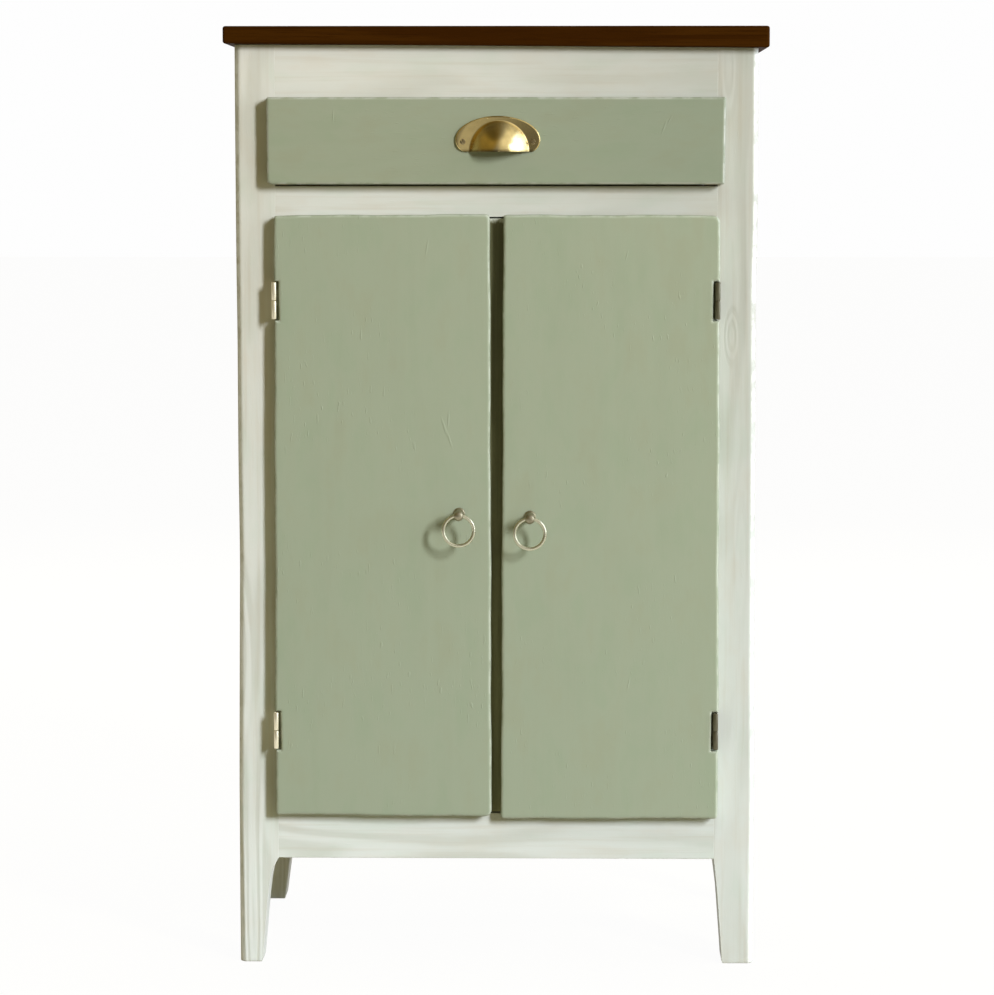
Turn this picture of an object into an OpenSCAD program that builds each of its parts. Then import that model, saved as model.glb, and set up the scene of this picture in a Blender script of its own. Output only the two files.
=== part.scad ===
// Jam cupboard: a small painted cupboard on four tapered legs, with one drawer over two doors.
// Millimetres. +X is to the right, the front faces -Y and +Z is up.
// The origin is on the floor, under the centre of the whole object.

/* [Overall] */
// Height from the floor to the upper face of the top board
height = 950; // [880:1:1020]
// Width across the outer faces of the posts
body_w = 522; // [480:1:580]
// Depth from the front of the face frame to the back of the posts
body_d = 360; // [330:1:420]

/* [Top board] */
// Thickness of the top board
top_t = 18; // [15:0.5:26]
// Overhang of the top board past each side
top_side_over = 11.5; // [4:0.5:25]
// Overhang of the top board past the face frame
top_front_over = 14; // [6:0.5:16]
// Overhang of the top board past the back
top_back_over = 8; // [0:0.5:20]

/* [Posts and legs] */
// Width of each corner post, seen from the front
post_w = 39.2; // [36:0.1:48]
// Depth of each corner post, seen from the side
post_d = 60; // [50:1:80]
// Radius of the outer upright corner of each post
corner_r = 5; // [2:0.5:8]
// Height of the legs, from the floor to the lower edges of the rails
leg_h = 108; // [80:1:140]
// Straight taper of a front leg's inner faces, at the floor
leg_taper = 8; // [2:0.5:12]
// Straight taper of a back leg's inner faces, at the floor
back_leg_taper = 14; // [2:0.5:16]
// Hollow of every leg's inner faces, close under the rails
leg_hollow = 4.5; // [0:0.5:8]

/* [Face frame] */
// Thickness of the face frame's rails
rail_t = 22; // [20:1:28]
// Height of the top rail and of the other rails under the top board
top_rail_h = 57.5; // [44:0.5:80]
// Height of the middle rail
middle_rail_h = 30.4; // [24:0.1:50]
// Height of the bottom rail and of the other rails over the legs
bottom_rail_h = 46.8; // [40:0.1:70]
// Height of the drawer's opening
drawer_opening_h = 84; // [74:1:120]
// Width of the upright behind the gap between the doors
centre_post_w = 30; // [26:1:50]
// Length of the centre post's stub tenons
stub_l = 4; // [2:0.5:4.5]
// Length of the front and back rails' tenons
tenon_l = 20; // [10:1:22]
// Thickness of all tenons
tenon_t = 8; // [5:0.5:9]
// Shoulder above and below each front and back tenon
tenon_shoulder = 5; // [3:0.5:8]

/* [Sides and back] */
// Thickness of the side rails
side_rail_t = 20; // [16:1:24]
// Step from the posts' outer faces in to the side rails
side_setback = 3; // [1:0.5:5]
// Length of the side rails' tenons
side_tenon_l = 14; // [8:1:18]
// Thickness of the side panels
side_panel_t = 8; // [5:0.5:10]
// Depth of the grooves that hold the side panels
groove_d = 7; // [4:0.5:9]
// Thickness of the back rails
back_rail_t = 20; // [18:1:26]
// Thickness of the back panel
back_panel_t = 6; // [4:0.5:9]

/* [Inside] */
// Thickness of the shelf and of the floor board
board_t = 15; // [12:0.5:20]
// Height of the shelf's upper face over the floor board
shelf_h = 305; // [180:5:400]
// Distance of the shelf's front edge behind the face frame
shelf_back_off = 2; // [0.5:0.5:60]
// Step from the bottom rail's upper edge down to the floor board
floor_drop = 5; // [4.5:0.5:12]
// Depth of the housings that hold the floor board in the rails
housing_d = 8; // [4:0.5:10]
// Stop of those housings short of each post
housing_stop = 12; // [6:1:30]
// Width of the cleats, runners and kickers
batten_w = 22; // [18:1:30]
// Height of the shelf cleats and drawer runners
batten_h = 24; // [16:1:30]

/* [Drawer] */
// Thickness of the drawer front and of the doors
slab_t = 18; // [15:0.5:24]
// Overlap of the drawer front on each post
drawer_side_lap = 5; // [2:0.5:15]
// Overlap of the drawer front on the top rail
drawer_top_lap = 5; // [2:0.5:20]
// Slit between the drawer front's lower edge and the middle rail
drawer_slit = 3.2; // [1:0.1:5]
// Thickness of the drawer's sides, back and inner front
drawer_board_t = 12; // [9:0.5:16]
// Distance from the drawer's back to the back of the posts
drawer_back_room = 50; // [30:1:100]
// Room between the drawer box's upper edge and the drawer opening's
drawer_box_low = 6; // [5:0.5:12]
// Thickness of the drawer bottom
drawer_bottom_t = 5; // [4:0.5:8]
// Height of the drawer bottom over the sides' lower edges
drawer_bottom_up = 6; // [5:0.5:12]
// Depth of the grooves that hold the drawer bottom
drawer_groove_d = 6; // [3:0.5:8]

/* [Doors] */
// Overlap of each door on its post
door_side_lap = 1; // [0.5:0.1:2]
// Overlap of the doors on the middle rail
door_top_lap = 2.7; // [1:0.1:12]
// Overlap of the doors on the bottom rail
door_bottom_lap = 1.5; // [1:0.1:12]
// Distance of the left door's meeting edge from the centre, at its top
left_meet_top = 6.3; // [2:0.1:12]
// Distance of the left door's meeting edge from the centre, at its foot
left_meet_foot = 4; // [2:0.1:12]
// Distance of the right door's meeting edge from the centre, at its top
right_meet_top = 8.6; // [2:0.1:12]
// Distance of the right door's meeting edge from the centre, at its foot
right_meet_foot = 4.8; // [2:0.1:12]

/* [Hinges] */
// Length of each hinge
hinge_l = 37; // [30:1:50]
// Distance of the upper hinges' centres below the doors' upper edges
upper_hinge_down = 86; // [50:1:120]
// Distance of the lower hinges' centres above the doors' lower edges
lower_hinge_up = 88.8; // [50:0.1:120]
// Radius of the hinge knuckles
knuckle_r = 3; // [2.6:0.1:4]
// Radius of the hinge pins
hinge_pin_r = 1.5; // [1.2:0.1:1.8]
// Distance of the hinge pins from the doors' outer edges, inwards
hinge_in = 0.7; // [0.5:0.1:1.5]
// Distance of the hinge pins in front of the doors
hinge_out = 0.5; // [0.2:0.1:1.5]
// Thickness of the hinge leaves
leaf_t = 1.2; // [1:0.1:1.5]
// Half the gap between the two leaves of a closed hinge
leaf_half_gap = 0.4; // [0.2:0.1:0.6]
// Length of a frame leaf behind the face frame's front
frame_leaf_in = 16; // [12:0.5:20]
// Length of a door leaf behind the pin
door_leaf_w = 14; // [12:0.5:15]
// Distance between the two screws of a leaf
hinge_screw_pitch = 22; // [14:1:26]
// Length of the hinge screws
hinge_screw_l = 14; // [10:1:16]
// Radius of the hinge screws
hinge_screw_r = 1.4; // [1:0.1:1.6]

/* [Cup pull] */
// Width of the cup pull's flange
cup_w = 84.6; // [80:0.5:110]
// Height of the cup pull's flange
cup_h = 35.8; // [34:0.1:45]
// Height of the flange's rounded end lobes
cup_lobe_h = 12; // [10:0.5:16]
// Thickness of the flange and of the cup's wall
cup_t = 1.6; // [1.2:0.1:2]
// Half the width of the cup at the drawer front
cup_r = 30.5; // [24:0.1:32]
// Reach of the cup in front of the drawer front
cup_out = 24; // [18:0.5:28]
// Distance of the cup pull's middle from the centre line
cup_x = 2.2; // [-10:0.1:10]
// Height of the cup pull's lower edge over the drawer front's
cup_up = 31.4; // [10:0.1:36]
// Distance between the cup pull's screws
cup_screw_pitch = 70.4; // [68:0.1:74]
// Height of the cup pull's screws over its lower edge
cup_screw_up = 10; // [8:0.5:14]

/* [Ring pulls] */
// Radius of a ring, to the middle of its wire
ring_r = 15.2; // [12:0.1:20]
// Radius of the ring's wire
wire_r = 1.8; // [1.4:0.1:2]
// Reach of a ring in front of its door
ring_out = 26; // [22:0.5:32]
// Radius of the ball that holds a ring
ball_r = 5.2; // [5:0.1:6.5]
// Radius of the hole through the ball
ball_hole_r = 2.6; // [2.5:0.1:3]
// Radius of the rose at the foot of a ring pull
rose_r = 6; // [5:0.5:9]
// Radius of a ring pull's threaded shank
shank_r = 2; // [1.5:0.1:2.4]
// Distance of the left pull from the centre line
left_pull_x = 36.7; // [30:0.1:60]
// Height of the left pull over the doors' lower edges
left_pull_up = 309.7; // [200:0.1:400]
// Distance of the right pull from the centre line
right_pull_x = 34.5; // [30:0.1:60]
// Height of the right pull over the doors' lower edges
right_pull_up = 306.7; // [200:0.1:400]

/* [Catches and screws] */
// Width of a catch
catch_w = 12; // [10:0.5:16]
// Height of a catch
catch_h = 30; // [24:1:40]
// Height of the catches' centres over the doors' lower edges
catch_up = 500; // [430:5:560]
// Thickness of the strike plates
strike_t = 1.2; // [0.8:0.1:1.5]
// Radius of the screws in the drawer front and top board
screw_r = 2; // [1.5:0.1:2.4]
// Depth that the screws bite into the drawer front and top board
screw_bite = 11; // [8:0.5:12]
// Distance of the drawer front's screws from the drawer's sides
drawer_screw_in = 45; // [20:1:90]
// Distance of the drawer front's screws from the edges of the inner front
drawer_screw_up = 14; // [9:0.5:16]
// Distance of the top board's screws from the ends of the kickers
top_screw_in = 40; // [20:1:90]
// Depth of the counterbores under the top board's screws
top_screw_bore = 30; // [12:1:34]

/* [Clearances] */
// Gap between the face frame and the closed doors and drawer front
front_gap = 0.4; // [0.2:0.1:0.8]
// Gap between the drawer box and each post
drawer_side_gap = 1.5; // [1:0.1:3]
// Gap between the drawer's sides and the runners under them
drawer_under_gap = 0.3; // [0.2:0.1:0.5]
// Gap between the drawer's sides and the kickers over them
drawer_over_gap = 1.5; // [1:0.1:3]
// Gap round the ends of boards, panels and tenons
board_gap = 0.5; // [0.2:0.1:1]
// Radial gap between a hinge pin and a door leaf
pin_gap = 0.05; // [0.02:0.01:0.1]
// Radial gap round screws and shanks in their holes
screw_gap = 0.05; // [0.02:0.01:0.1]
// Gap between a catch and its strike plate
catch_gap = 0.3; // [0.2:0.1:0.5]

/* [Hidden] */
$fn = 48;

// Small overshoot of a cut past the face that it opens
cut = 1;

// Places across the width, on the right-hand side
out_x = body_w / 2;
in_x = out_x - post_w;
side_x = out_x - side_setback - side_rail_t / 2;

// Places from front to back, with the face frame's front at zero
back_rail_y = body_d - back_panel_t - back_rail_t;
front_reach = front_gap + slab_t + ring_out + ball_r;
frame_y = -(body_d + top_back_over - front_reach) / 2;
slab_back_y = -front_gap;
slab_front_y = slab_back_y - slab_t;

// Heights
top_z = height - top_t;
top_rail_z = top_z - top_rail_h;
middle_top_z = top_rail_z - drawer_opening_h;
middle_z = middle_top_z - middle_rail_h;
bottom_top_z = leg_h + bottom_rail_h;
floor_z = bottom_top_z - floor_drop;
shelf_z = floor_z + shelf_h;

// Drawer
drawer_x = in_x - drawer_side_gap;
drawer_low_z = middle_top_z + drawer_under_gap;
drawer_high_z = top_rail_z - drawer_box_low;
kicker_z = drawer_high_z + drawer_over_gap;
drawer_front_low_z = middle_top_z + drawer_slit;
drawer_floor_z = drawer_low_z + drawer_bottom_up;
drawer_inner_x = drawer_x - drawer_board_t;
inner_front_y = slab_back_y + drawer_board_t;
drawer_back_y = body_d - drawer_back_room;

// Doors
door_x = in_x + door_side_lap;
door_low_z = bottom_top_z - door_bottom_lap;
door_high_z = middle_z + door_top_lap;
upper_hinge_z = door_high_z - upper_hinge_down;
lower_hinge_z = door_low_z + lower_hinge_up;
hinge_x = door_x - hinge_in;
hinge_y = slab_front_y - hinge_out;
frame_leaf_x = hinge_x + leaf_half_gap;
door_leaf_x = hinge_x - leaf_half_gap - leaf_t;

// Gap between a knuckle and the other leaf, and between the two knuckles of a hinge
knuckle_room = 0.3;
knuckle_joint = 0.3;
// Gap left round the part of a pin that sits tight in the frame leaf's knuckle
press_gap = 0.01;
// Length of the pin that is left out at the hinge's upper end
pin_short = 1;
// Room above and below a hinge in its notch, beside its knuckles and behind them
notch_room = 1;
notch_side_room = 2.6;
notch_back_room = 0.5;
notch_deep_x = hinge_x - knuckle_r - notch_side_room;

// Screw heads: their radius against the shank's, and the height of the top board screws' heads
screw_head_k = 2;
top_head_t = 3;
// Radial room round those heads in their counterbores
bore_room = 1;

// Side view of the battens
kicker_bore_z = kicker_z + top_screw_bore;
batten_end_y = body_d - back_panel_t;

// Outline of a leg's inner face: how far it is cut back at a share t of the leg's height
leg_steps = 12;
hollow_power = 6;
function leg_cut(t, taper) = taper * (1 - t) + leg_hollow * (1 - pow(t, hollow_power));

// A box between two values on each axis
module block(x, y, z) {
    translate([x[0], y[0], z[0]])
        cube([x[1] - x[0], y[1] - y[0], z[1] - z[0]]);
}

// An outline in X and Z, carried along Y
module along_y(y) {
    translate([0, y[1], 0])
        rotate([90, 0, 0])
            linear_extrude(y[1] - y[0]) children();
}

// An outline in Y and Z, carried along X
module along_x(x) {
    translate([x[0], 0, 0])
        rotate([90, 0, 90])
            linear_extrude(x[1] - x[0]) children();
}

// Everything is drawn with the face frame's front at zero, and moved to the object's own frame here
module placed() {
    translate([0, frame_y, 0]) children();
}

// The left-hand copy of a right-hand shape
module left_side() {
    mirror([1, 0, 0]) children();
}

// A countersunk screw along +Z, with the flat of its head at zero
module screw(r, l) {
    cylinder(h = r, r1 = screw_head_k * r, r2 = r);
    cylinder(h = l, r = r);
}

// The hole for such a screw
module screw_hole(r, l) {
    hole_r = r + screw_gap;
    translate([0, 0, -cut]) cylinder(h = cut, r = screw_head_k * r + screw_gap);
    cylinder(h = r, r1 = screw_head_k * r + screw_gap, r2 = hole_r);
    cylinder(h = l + screw_gap, r = hole_r);
}

// Top board

module kicker_screw_places() {
    for (side = [-1, 1])
        for (y = [rail_t + top_screw_in, back_rail_y - top_screw_in])
            translate([side * (in_x - batten_w / 2), y, kicker_bore_z]) children();
}

module top_board() {
    color([0.22, 0.12, 0.05]) placed() difference() {
        block([-out_x - top_side_over, out_x + top_side_over],
            [-top_front_over, body_d + top_back_over], [top_z, height]);
        kicker_screw_places()
            cylinder(h = top_z - kicker_bore_z + screw_bite + screw_gap, r = screw_r + screw_gap);
    }
}

module top_board_screws() {
    color([0.75, 0.72, 0.65]) placed() kicker_screw_places() {
        translate([0, 0, -top_head_t]) cylinder(h = top_head_t, r = screw_head_k * screw_r);
        cylinder(h = top_z - kicker_bore_z + screw_bite, r = screw_r);
    }
}

// Posts

module leg_outline(inner, outer, taper) {
    polygon(concat(
        [for (i = [0:leg_steps]) [inner + leg_cut(i / leg_steps, taper), leg_h * i / leg_steps]],
        [[inner, top_z], [outer, top_z], [outer, 0]]));
}

module post_plan() {
    difference() {
        translate([in_x, 0]) square([post_w, post_d]);
        translate([out_x - corner_r, 0]) difference() {
            translate([0, -cut]) square([corner_r + cut, corner_r + cut]);
            translate([0, corner_r]) circle(corner_r);
        }
    }
}

// A right-hand post with its tapered leg: the front one as it stands, the back one still facing forward
module post_body(taper) {
    intersection() {
        linear_extrude(top_z) post_plan();
        along_y([-cut, post_d + cut]) leg_outline(in_x, out_x + cut, taper);
        along_x([in_x - cut, out_x + cut])
            mirror([1, 0]) translate([-post_d, 0]) leg_outline(0, post_d + cut, taper);
    }
}

module rail_mortise(y, z) {
    block([in_x - cut, in_x + tenon_l + board_gap],
        [y - tenon_t / 2, y + tenon_t / 2], [z[0] + tenon_shoulder, z[1] - tenon_shoulder]);
}

// Shoulder above and below each side tenon, past the panel's groove
side_shoulder = groove_d + 1.5;

module side_joints() {
    for (z = [[leg_h, bottom_top_z], [top_rail_z, top_z]])
        block([side_x - tenon_t / 2, side_x + tenon_t / 2],
            [post_d - side_tenon_l - board_gap, post_d + cut],
            [z[0] + side_shoulder, z[1] - side_shoulder]);
    block([side_x - side_panel_t / 2, side_x + side_panel_t / 2],
        [post_d - groove_d, post_d + cut], [bottom_top_z - groove_d, top_rail_z + groove_d]);
}

module hinge_screw_places(z, x, y) {
    for (dz = [-1, 1])
        translate([x, y, z + dz * hinge_screw_pitch / 2]) children();
}

frame_screw_y = frame_leaf_in / 2;

module front_post() {
    difference() {
        post_body(leg_taper);
        rail_mortise(rail_t / 2, [leg_h, bottom_top_z]);
        rail_mortise(rail_t / 2, [middle_z, middle_top_z]);
        rail_mortise(rail_t / 2, [top_rail_z, top_z]);
        side_joints();
        for (z = [upper_hinge_z, lower_hinge_z]) {
            block([in_x - cut, frame_leaf_x + leaf_t], [-cut, frame_leaf_in],
                [z - hinge_l / 2, z + hinge_l / 2]);
            hinge_screw_places(z, frame_leaf_x, frame_screw_y)
                rotate([0, 90, 0]) screw_hole(hinge_screw_r, hinge_screw_l);
        }
    }
}

module back_post() {
    translate([0, body_d, 0]) mirror([0, 1, 0]) difference() {
        post_body(back_leg_taper);
        rail_mortise(back_panel_t + back_rail_t / 2, [leg_h, bottom_top_z]);
        rail_mortise(back_panel_t + back_rail_t / 2, [top_rail_z, top_z]);
        side_joints();
    }
}

module right_front_post() { color([0.83, 0.81, 0.75]) placed() front_post(); }
module left_front_post() { color([0.83, 0.81, 0.75]) placed() left_side() front_post(); }
module right_back_post() { color([0.83, 0.81, 0.75]) placed() back_post(); }
module left_back_post() { color([0.83, 0.81, 0.75]) placed() left_side() back_post(); }

// Face frame rails

module tenoned_rail(y, z) {
    block([-in_x, in_x], y, z);
    middle = (y[0] + y[1]) / 2;
    block([-in_x - tenon_l, in_x + tenon_l], [middle - tenon_t / 2, middle + tenon_t / 2],
        [z[0] + tenon_shoulder, z[1] - tenon_shoulder]);
}

stub_x = centre_post_w / 2 - tenon_shoulder;

module stub_room(z) {
    block([-stub_x, stub_x], [rail_t / 2 - tenon_t / 2, rail_t / 2 + tenon_t / 2], z);
}

// The floor board's tongues, and the stopped housings for them in the two rails
module floor_tongue(gap) {
    reach = in_x - housing_stop - gap;
    block([-reach, reach], [rail_t - housing_d + gap, back_rail_y + housing_d - gap],
        [floor_z - board_t, floor_z]);
}

module top_rail() {
    color([0.83, 0.81, 0.75]) placed() tenoned_rail([0, rail_t], [top_rail_z, top_z]);
}

module middle_rail() {
    color([0.83, 0.81, 0.75]) placed() difference() {
        tenoned_rail([0, rail_t], [middle_z, middle_top_z]);
        stub_room([middle_z - cut, middle_z + stub_l + board_gap]);
    }
}

module bottom_rail() {
    color([0.83, 0.81, 0.75]) placed() difference() {
        tenoned_rail([0, rail_t], [leg_h, bottom_top_z]);
        stub_room([bottom_top_z - stub_l - board_gap, bottom_top_z + cut]);
        floor_tongue(0);
    }
}

module centre_post() {
    color([0.62, 0.65, 0.55]) placed() {
        block([-centre_post_w / 2, centre_post_w / 2], [0, rail_t], [bottom_top_z, middle_z]);
        stub_room([bottom_top_z - stub_l, middle_z + stub_l]);
    }
}

// Sides

module side_rail(z, groove_z) {
    difference() {
        union() {
            block([side_x - side_rail_t / 2, side_x + side_rail_t / 2],
                [post_d, body_d - post_d], z);
            block([side_x - tenon_t / 2, side_x + tenon_t / 2],
                [post_d - side_tenon_l, body_d - post_d + side_tenon_l],
                [z[0] + side_shoulder, z[1] - side_shoulder]);
        }
        block([side_x - side_panel_t / 2, side_x + side_panel_t / 2],
            [post_d - cut, body_d - post_d + cut], groove_z);
    }
}

module upper_side_rail() {
    side_rail([top_rail_z, top_z], [top_rail_z - cut, top_rail_z + groove_d]);
}

module lower_side_rail() {
    side_rail([leg_h, bottom_top_z], [bottom_top_z - groove_d, bottom_top_z + cut]);
}

module side_panel() {
    block([side_x - side_panel_t / 2, side_x + side_panel_t / 2],
        [post_d - groove_d + board_gap, body_d - post_d + groove_d - board_gap],
        [bottom_top_z - groove_d, top_rail_z + groove_d - board_gap]);
}

module right_upper_side_rail() { color([0.83, 0.81, 0.75]) placed() upper_side_rail(); }
module left_upper_side_rail() { color([0.83, 0.81, 0.75]) placed() left_side() upper_side_rail(); }
module right_lower_side_rail() { color([0.83, 0.81, 0.75]) placed() lower_side_rail(); }
module left_lower_side_rail() { color([0.83, 0.81, 0.75]) placed() left_side() lower_side_rail(); }
module right_side_panel() { color([0.80, 0.78, 0.72]) placed() side_panel(); }
module left_side_panel() { color([0.80, 0.78, 0.72]) placed() left_side() side_panel(); }

// Back

module upper_back_rail() {
    color([0.83, 0.81, 0.75]) placed()
        tenoned_rail([back_rail_y, back_rail_y + back_rail_t], [top_rail_z, top_z]);
}

module lower_back_rail() {
    color([0.83, 0.81, 0.75]) placed() difference() {
        tenoned_rail([back_rail_y, back_rail_y + back_rail_t], [leg_h, bottom_top_z]);
        floor_tongue(0);
    }
}

module back_panel() {
    color([0.78, 0.76, 0.70]) placed()
        block([-in_x + board_gap, in_x - board_gap], [body_d - back_panel_t, body_d],
            [leg_h, top_z]);
}

// Inside of the cupboard

// A board between the posts that also fills the room between them, out to wall_x
module notched_board(y, z, wall_x) {
    block([-in_x + board_gap, in_x - board_gap], y, z);
    block([-wall_x + board_gap, wall_x - board_gap],
        [post_d + board_gap, body_d - post_d - board_gap], z);
}

module floor_board() {
    color([0.80, 0.78, 0.72]) placed() {
        notched_board([rail_t + board_gap, back_rail_y - board_gap], [floor_z - board_t, floor_z],
            side_x - side_rail_t / 2);
        floor_tongue(board_gap);
    }
}

module shelf() {
    color([0.80, 0.78, 0.72]) placed()
        notched_board([rail_t + shelf_back_off, body_d - back_panel_t - board_gap],
            [shelf_z - board_t, shelf_z], side_x - side_panel_t / 2);
}

// A batten along the inner faces of the two right-hand posts
module batten(y, z) {
    block([in_x - batten_w, in_x], y, z);
}

module shelf_cleat() {
    batten([rail_t + shelf_back_off, batten_end_y], [shelf_z - board_t - batten_h, shelf_z - board_t]);
}

module drawer_runner() {
    batten([rail_t, batten_end_y], [middle_top_z - batten_h, middle_top_z]);
}

module kicker() {
    difference() {
        batten([rail_t, back_rail_y], [kicker_z, top_z]);
        kicker_screw_places() {
            translate([0, 0, kicker_z - kicker_bore_z - cut])
                cylinder(h = kicker_bore_z - kicker_z + cut, r = screw_head_k * screw_r + bore_room);
            cylinder(h = top_z, r = screw_r + screw_gap);
        }
    }
}

module right_shelf_cleat() { color([0.80, 0.78, 0.72]) placed() shelf_cleat(); }
module left_shelf_cleat() { color([0.80, 0.78, 0.72]) placed() left_side() shelf_cleat(); }
module right_drawer_runner() { color([0.80, 0.66, 0.46]) placed() drawer_runner(); }
module left_drawer_runner() { color([0.80, 0.66, 0.46]) placed() left_side() drawer_runner(); }
module right_kicker() { color([0.80, 0.66, 0.46]) placed() kicker(); }
module left_kicker() { color([0.80, 0.66, 0.46]) placed() left_side() kicker(); }

// Catches, on the sides of the centre post

catch_z = door_low_z + catch_up;
catch_y = slab_back_y + strike_t + catch_gap;

// The magnet's recess in a catch: its rims at the sides and ends, and its depth
recess_rim = 3;
recess_end = 5;
recess_deep = 2;

module catch() {
    difference() {
        block([centre_post_w / 2, centre_post_w / 2 + catch_w], [catch_y, rail_t],
            [catch_z - catch_h / 2, catch_z + catch_h / 2]);
        block([centre_post_w / 2 + recess_rim, centre_post_w / 2 + catch_w - recess_rim],
            [catch_y - cut, catch_y + recess_deep],
            [catch_z - catch_h / 2 + recess_end, catch_z + catch_h / 2 - recess_end]);
    }
}

module right_catch() { color([0.85, 0.84, 0.80]) placed() catch(); }
module left_catch() { color([0.85, 0.84, 0.80]) placed() left_side() catch(); }

// Length of the pin that holds a strike plate, and the plate's step in from the catch's outline
strike_pin_l = 8;
strike_in = 1;
strike_x = centre_post_w / 2 + catch_w / 2;

module strike_pin(gap) {
    translate([strike_x, slab_back_y, catch_z]) rotate([90, 0, 0])
        cylinder(h = strike_pin_l + gap, r = screw_r / 2 + gap);
}

module strike_plate() {
    block([strike_x - catch_w / 2 + strike_in, strike_x + catch_w / 2 - strike_in],
        [slab_back_y, slab_back_y + strike_t],
        [catch_z - catch_h / 2 + 2 * strike_in, catch_z + catch_h / 2 - 2 * strike_in]);
    strike_pin(0);
}

// Drawer

drawer_pilot_x = drawer_inner_x - drawer_screw_in;
// Step of the inner front's lower edge up from the drawer front's
inner_front_up = 1;

module drawer_screw_places() {
    for (x = [-drawer_pilot_x, drawer_pilot_x])
        for (z = [drawer_floor_z + drawer_bottom_t + drawer_screw_up, drawer_high_z - drawer_screw_up])
            translate([x, inner_front_y, z]) rotate([90, 0, 0]) children();
}

cup_z = drawer_front_low_z + cup_up;

module cup_screw_places() {
    for (side = [-1, 1])
        translate([cup_x + side * cup_screw_pitch / 2, slab_front_y - cup_t, cup_z + cup_screw_up])
            rotate([-90, 0, 0]) children();
}

// Radius and length of the cup pull's screws
cup_screw_r = 1.4;
cup_screw_l = 15;

module drawer_front() {
    color([0.60, 0.62, 0.52]) placed() difference() {
        block([-in_x - drawer_side_lap, in_x + drawer_side_lap], [slab_front_y, slab_back_y],
            [drawer_front_low_z, top_rail_z + drawer_top_lap]);
        drawer_screw_places() screw_hole(screw_r, drawer_board_t + screw_bite);
        cup_screw_places() screw_hole(cup_screw_r, cup_screw_l);
    }
}

module drawer_floor_groove() {
    block([-drawer_inner_x - drawer_groove_d, drawer_inner_x + drawer_groove_d],
        [inner_front_y - drawer_groove_d, drawer_back_y + cut],
        [drawer_floor_z, drawer_floor_z + drawer_bottom_t]);
}

module drawer_inner_front() {
    color([0.80, 0.66, 0.46]) placed() difference() {
        block([-drawer_inner_x, drawer_inner_x], [slab_back_y, inner_front_y],
            [drawer_front_low_z + inner_front_up, drawer_high_z]);
        drawer_floor_groove();
        drawer_screw_places() screw_hole(screw_r, drawer_board_t + screw_bite);
    }
}

module drawer_side() {
    difference() {
        block([drawer_inner_x, drawer_x], [slab_back_y, drawer_back_y],
            [drawer_low_z, drawer_high_z]);
        drawer_floor_groove();
    }
}

module drawer_right_side() { color([0.80, 0.66, 0.46]) placed() drawer_side(); }
module drawer_left_side() { color([0.80, 0.66, 0.46]) placed() left_side() drawer_side(); }

module drawer_back() {
    color([0.80, 0.66, 0.46]) placed()
        block([-drawer_inner_x, drawer_inner_x], [drawer_back_y - drawer_board_t, drawer_back_y],
            [drawer_floor_z + drawer_bottom_t, drawer_high_z]);
}

module drawer_bottom() {
    color([0.80, 0.66, 0.46]) placed()
        block([-drawer_inner_x - drawer_groove_d + board_gap, drawer_inner_x + drawer_groove_d - board_gap],
            [inner_front_y - drawer_groove_d + board_gap, drawer_back_y],
            [drawer_floor_z, drawer_floor_z + drawer_bottom_t]);
}

module drawer_front_screws() {
    color([0.75, 0.72, 0.65]) placed()
        drawer_screw_places() screw(screw_r, drawer_board_t + screw_bite);
}

// Cup pull: a half-oval flange with rounded lobes, and a cup cut from a ball

cup_ball_r = (cup_r * cup_r + cup_out * cup_out) / (2 * cup_out);
cup_ball_y = slab_front_y + cup_ball_r - cup_out;
flange_steps = 24;
// The lobes at the flange's ends are a little higher than wide
lobe_r = cup_lobe_h - 2;
lobe_steps = 6;

module flange_outline() {
    translate([cup_x, cup_z]) polygon(concat(
        [for (i = [0:flange_steps]) let (a = 180 * i / flange_steps)
            [cup_w / 2 * cos(a), cup_lobe_h + (cup_h - cup_lobe_h) * sin(a)]],
        [for (i = [0:lobe_steps]) let (a = 180 + 90 * i / lobe_steps)
            [-cup_w / 2 + lobe_r + lobe_r * cos(a), cup_lobe_h + cup_lobe_h * sin(a)]],
        [for (i = [0:lobe_steps]) let (a = 270 + 90 * i / lobe_steps)
            [cup_w / 2 - lobe_r + lobe_r * cos(a), cup_lobe_h + cup_lobe_h * sin(a)]]));
}

module cup_ball(r) {
    intersection() {
        translate([cup_x, cup_ball_y, cup_z]) sphere(r, $fn = 96);
        block([cup_x - 2 * cup_r, cup_x + 2 * cup_r],
            [slab_front_y - 2 * cup_r, slab_front_y], [cup_z, cup_z + 2 * cup_r]);
    }
}

module cup_pull() {
    color([0.72, 0.58, 0.30]) placed() difference() {
        union() {
            along_y([slab_front_y - cup_t, slab_front_y]) flange_outline();
            cup_ball(cup_ball_r);
        }
        translate([cup_x, cup_ball_y, cup_z]) sphere(cup_ball_r - cup_t, $fn = 96);
        cup_screw_places() screw_hole(cup_screw_r, cup_screw_l);
    }
}

module cup_pull_screws() {
    color([0.72, 0.58, 0.30]) placed() cup_screw_places() screw(cup_screw_r, cup_screw_l);
}

// Hinges, right-hand: the frame leaf carries the lower knuckle and the pin

module leaf_plate(x, y, z, far_knuckle) {
    difference() {
        block([x, x + leaf_t], y, [z - hinge_l / 2, z + hinge_l / 2]);
        translate([hinge_x, hinge_y, far_knuckle[0]])
            cylinder(h = far_knuckle[1] - far_knuckle[0], r = knuckle_r + knuckle_room);
    }
}

module knuckle(z) {
    translate([hinge_x, hinge_y, z[0]]) cylinder(h = z[1] - z[0], r = knuckle_r);
}

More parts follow.
